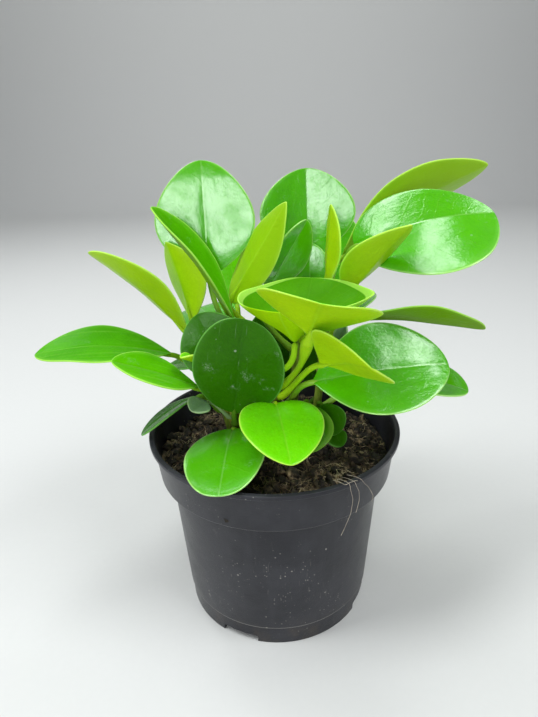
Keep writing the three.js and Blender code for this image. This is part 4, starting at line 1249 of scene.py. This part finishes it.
def makeStalk(bm, leaf):
    # the stalk runs on under the blade as a ridge that fades out along the midrib
    flush = bm.verts.layers.float["flush"]
    axis = stemPoint(leaf["stem"], leaf["z"])
    point, along, up = middleLine(leaf, leaf["joint"])
    end = bladePoint(leaf, leaf["joint"], 0)[0] - up * stalk["sunk"]
    outward = Vector((end.x - axis.x, end.y - axis.y, 0))
    if leaf["fromSide"]:
        outward = Vector((*leaf["fromSide"], 0))
    outward.normalize()
    radius = stalk["radius"] * (stalk["smallShare"] if leaf["width"] < stalk["smallLeaf"] else 1)
    start = axis + outward * (stemShape["radius"] + stalk["offStem"])
    reach = (end - start).length
    leave = (outward + Vector((0, 0, 1))).normalized()
    arrive = up if leaf["funnel"] else along
    path = bezier((start, start + leave * 0.35 * reach, end - arrive * 0.3 * reach, end), stalk["steps"])
    path = [axis + outward * 0.0006 + Vector((0, 0, -0.0010))] + path
    count = len(path) - 1
    radii = []
    for i in range(count + 1):
        t = i / count
        swell = 1 + (stalk["baseSwell"] - 1) * (1 - smoothStep(0.0, 0.28, t))
        swell *= 1 + (leaf["ridge"] - 1) * smoothStep(0.45, 1.0, t)
        radii.append(radius * swell * (1 - stalk["farTaper"] * t))
    for ahead, share in stalk["funnelRidge" if leaf["funnel"] else "ridge"]:
        size = radii[count] * share
        under = size * 0.9 + 0.0002
        s = leaf["joint"] + ahead
        path.append(bladePoint(leaf, s, 0)[0] - middleLine(leaf, s)[2] * under)
        radii.append(size)
    rings = sweep(bm, path, radii, stalk["sides"])
    for i, ring in enumerate(rings):
        for vert in ring:
            vert[flush] = 1 - smoothStep(0.02, 0.22, i / count)
    return {face for ring in rings for vert in ring for face in vert.link_faces}


def makeLeaf(row, seed, materials):
    leaf = {**leafDefaults, **row}
    bm = bmesh.new()
    bm.verts.layers.float_vector.new("leafMap")
    bm.verts.layers.float.new("upper")
    bm.verts.layers.float.new("deepShare")
    bm.verts.layers.float.new("flush")
    makeBlade(bm, leaf, seed)
    for face in makeStalk(bm, leaf):
        face.material_index = 1
    shadeSmooth(bm)
    name = leaf["name"].replace("_leaf", "_blade")
    finishes = [materials[leaf["look"]], materials["stalk"]]
    piece = addPiece(name, bm, finishes, [leaf["name"]])
    subdivide(piece, 1)


def makeStem(name, heights, material):
    bm = bmesh.new()
    flush = bm.verts.layers.float.new("flush")
    foot = stems[name][0][2]
    top = stems[name][2][2]
    count = round((top - foot) / stemShape["ringGap"])
    path = []
    radii = []
    nearNode = []
    for i in range(count + 1):
        z = foot + (top - foot) * i / count
        near = max([math.exp(-(((z - h) / stemShape["nodeLength"]) ** 2)) for h in heights])
        path.append(stemPoint(name, z))
        slim = stemShape["slimShare"]
        radii.append(stemShape["radius"] * (slim + (stemShape["nodeSwell"] - slim) * near))
        nearNode.append(near)
    # a short blunt growing end
    ahead = (path[-1] - path[-2]).normalized()
    for lift, share in stemShape["end"]:
        path.append(path[count] + ahead * lift)
        radii.append(stemShape["radius"] * share)
        nearNode.append(0.3)
    for ring, near in zip(sweep(bm, path, radii, stemShape["sides"]), nearNode):
        for vert in ring:
            vert[flush] = (0.15 + 0.55 * near) * smoothStep(0.130, 0.085, vert.co.z)
    shadeSmooth(bm)
    piece = addPiece(name + "_stalk", bm, [material], [name + "_stem"])
    subdivide(piece, 1)


leafMaterials = {name: leafMaterial(name, look) for name, look in leafLooks.items()}
leafMaterials["stalk"] = stalkMaterial("leafStalk", stalk)
for seed, leafRow in enumerate(leafRows):
    makeLeaf(leafRow, seed + 1, leafMaterials)
print("leaves made:", len(leafRows))
stemSkin = stalkMaterial("stemSkin", stemShape)
for stemName in stems:
    makeStem(stemName, [row["z"] for row in leafRows if row["stem"] == stemName], stemSkin)
print("stems made")


# floor
floor = {
    "size": 6.0,
    "bendRadius": 0.6,
    "bendSteps": 16,
    "backY": 1.6,
    "wallHeight": 2.4,
    "colour": (0.72, 0.71, 0.69),
    "rough": 0.85,
}


def makeFloor():
    bm = bmesh.new()
    half = floor["size"] / 2
    corners = [bm.verts.new((x, -half, 0)) for x in (-half, half)]
    edges = [bm.edges.new(corners)]
    moves = [(floor["backY"] + half, 0.0)]
    for i in range(floor["bendSteps"]):
        a, b = (math.pi / 2 * k / floor["bendSteps"] for k in (i, i + 1))
        moves.append((floor["bendRadius"] * (math.sin(b) - math.sin(a)),
                      floor["bendRadius"] * (math.cos(a) - math.cos(b))))
    moves.append((0.0, floor["wallHeight"]))
    for dy, dz in moves:
        grown = bmesh.ops.extrude_edge_only(bm, edges=edges)["geom"]
        verts = [item for item in grown if isinstance(item, bmesh.types.BMVert)]
        edges = [item for item in grown if isinstance(item, bmesh.types.BMEdge) and item.is_boundary
                 and all(vert in verts for vert in item.verts)]
        bmesh.ops.translate(bm, vec=(0, dy, dz), verts=verts)
    shadeSmooth(bm)
    mesh = meshFrom("studioFloor", bm)
    material, tree, shader = newMaterial("studioPaper")
    coordinates = addNode(tree, "ShaderNodeTexCoord").outputs["Object"]
    fine = noiseAt(tree, coordinates, 300.0, 3.0)
    shade = tuple(0.97 * value for value in floor["colour"])
    tree.links.new(mixed(tree, fine, floor["colour"], shade), shader.inputs["Base Color"])
    shader.inputs["Roughness"].default_value = floor["rough"]
    mesh.materials.append(material)
    linkObject("studioFloor", mesh)


makeFloor()
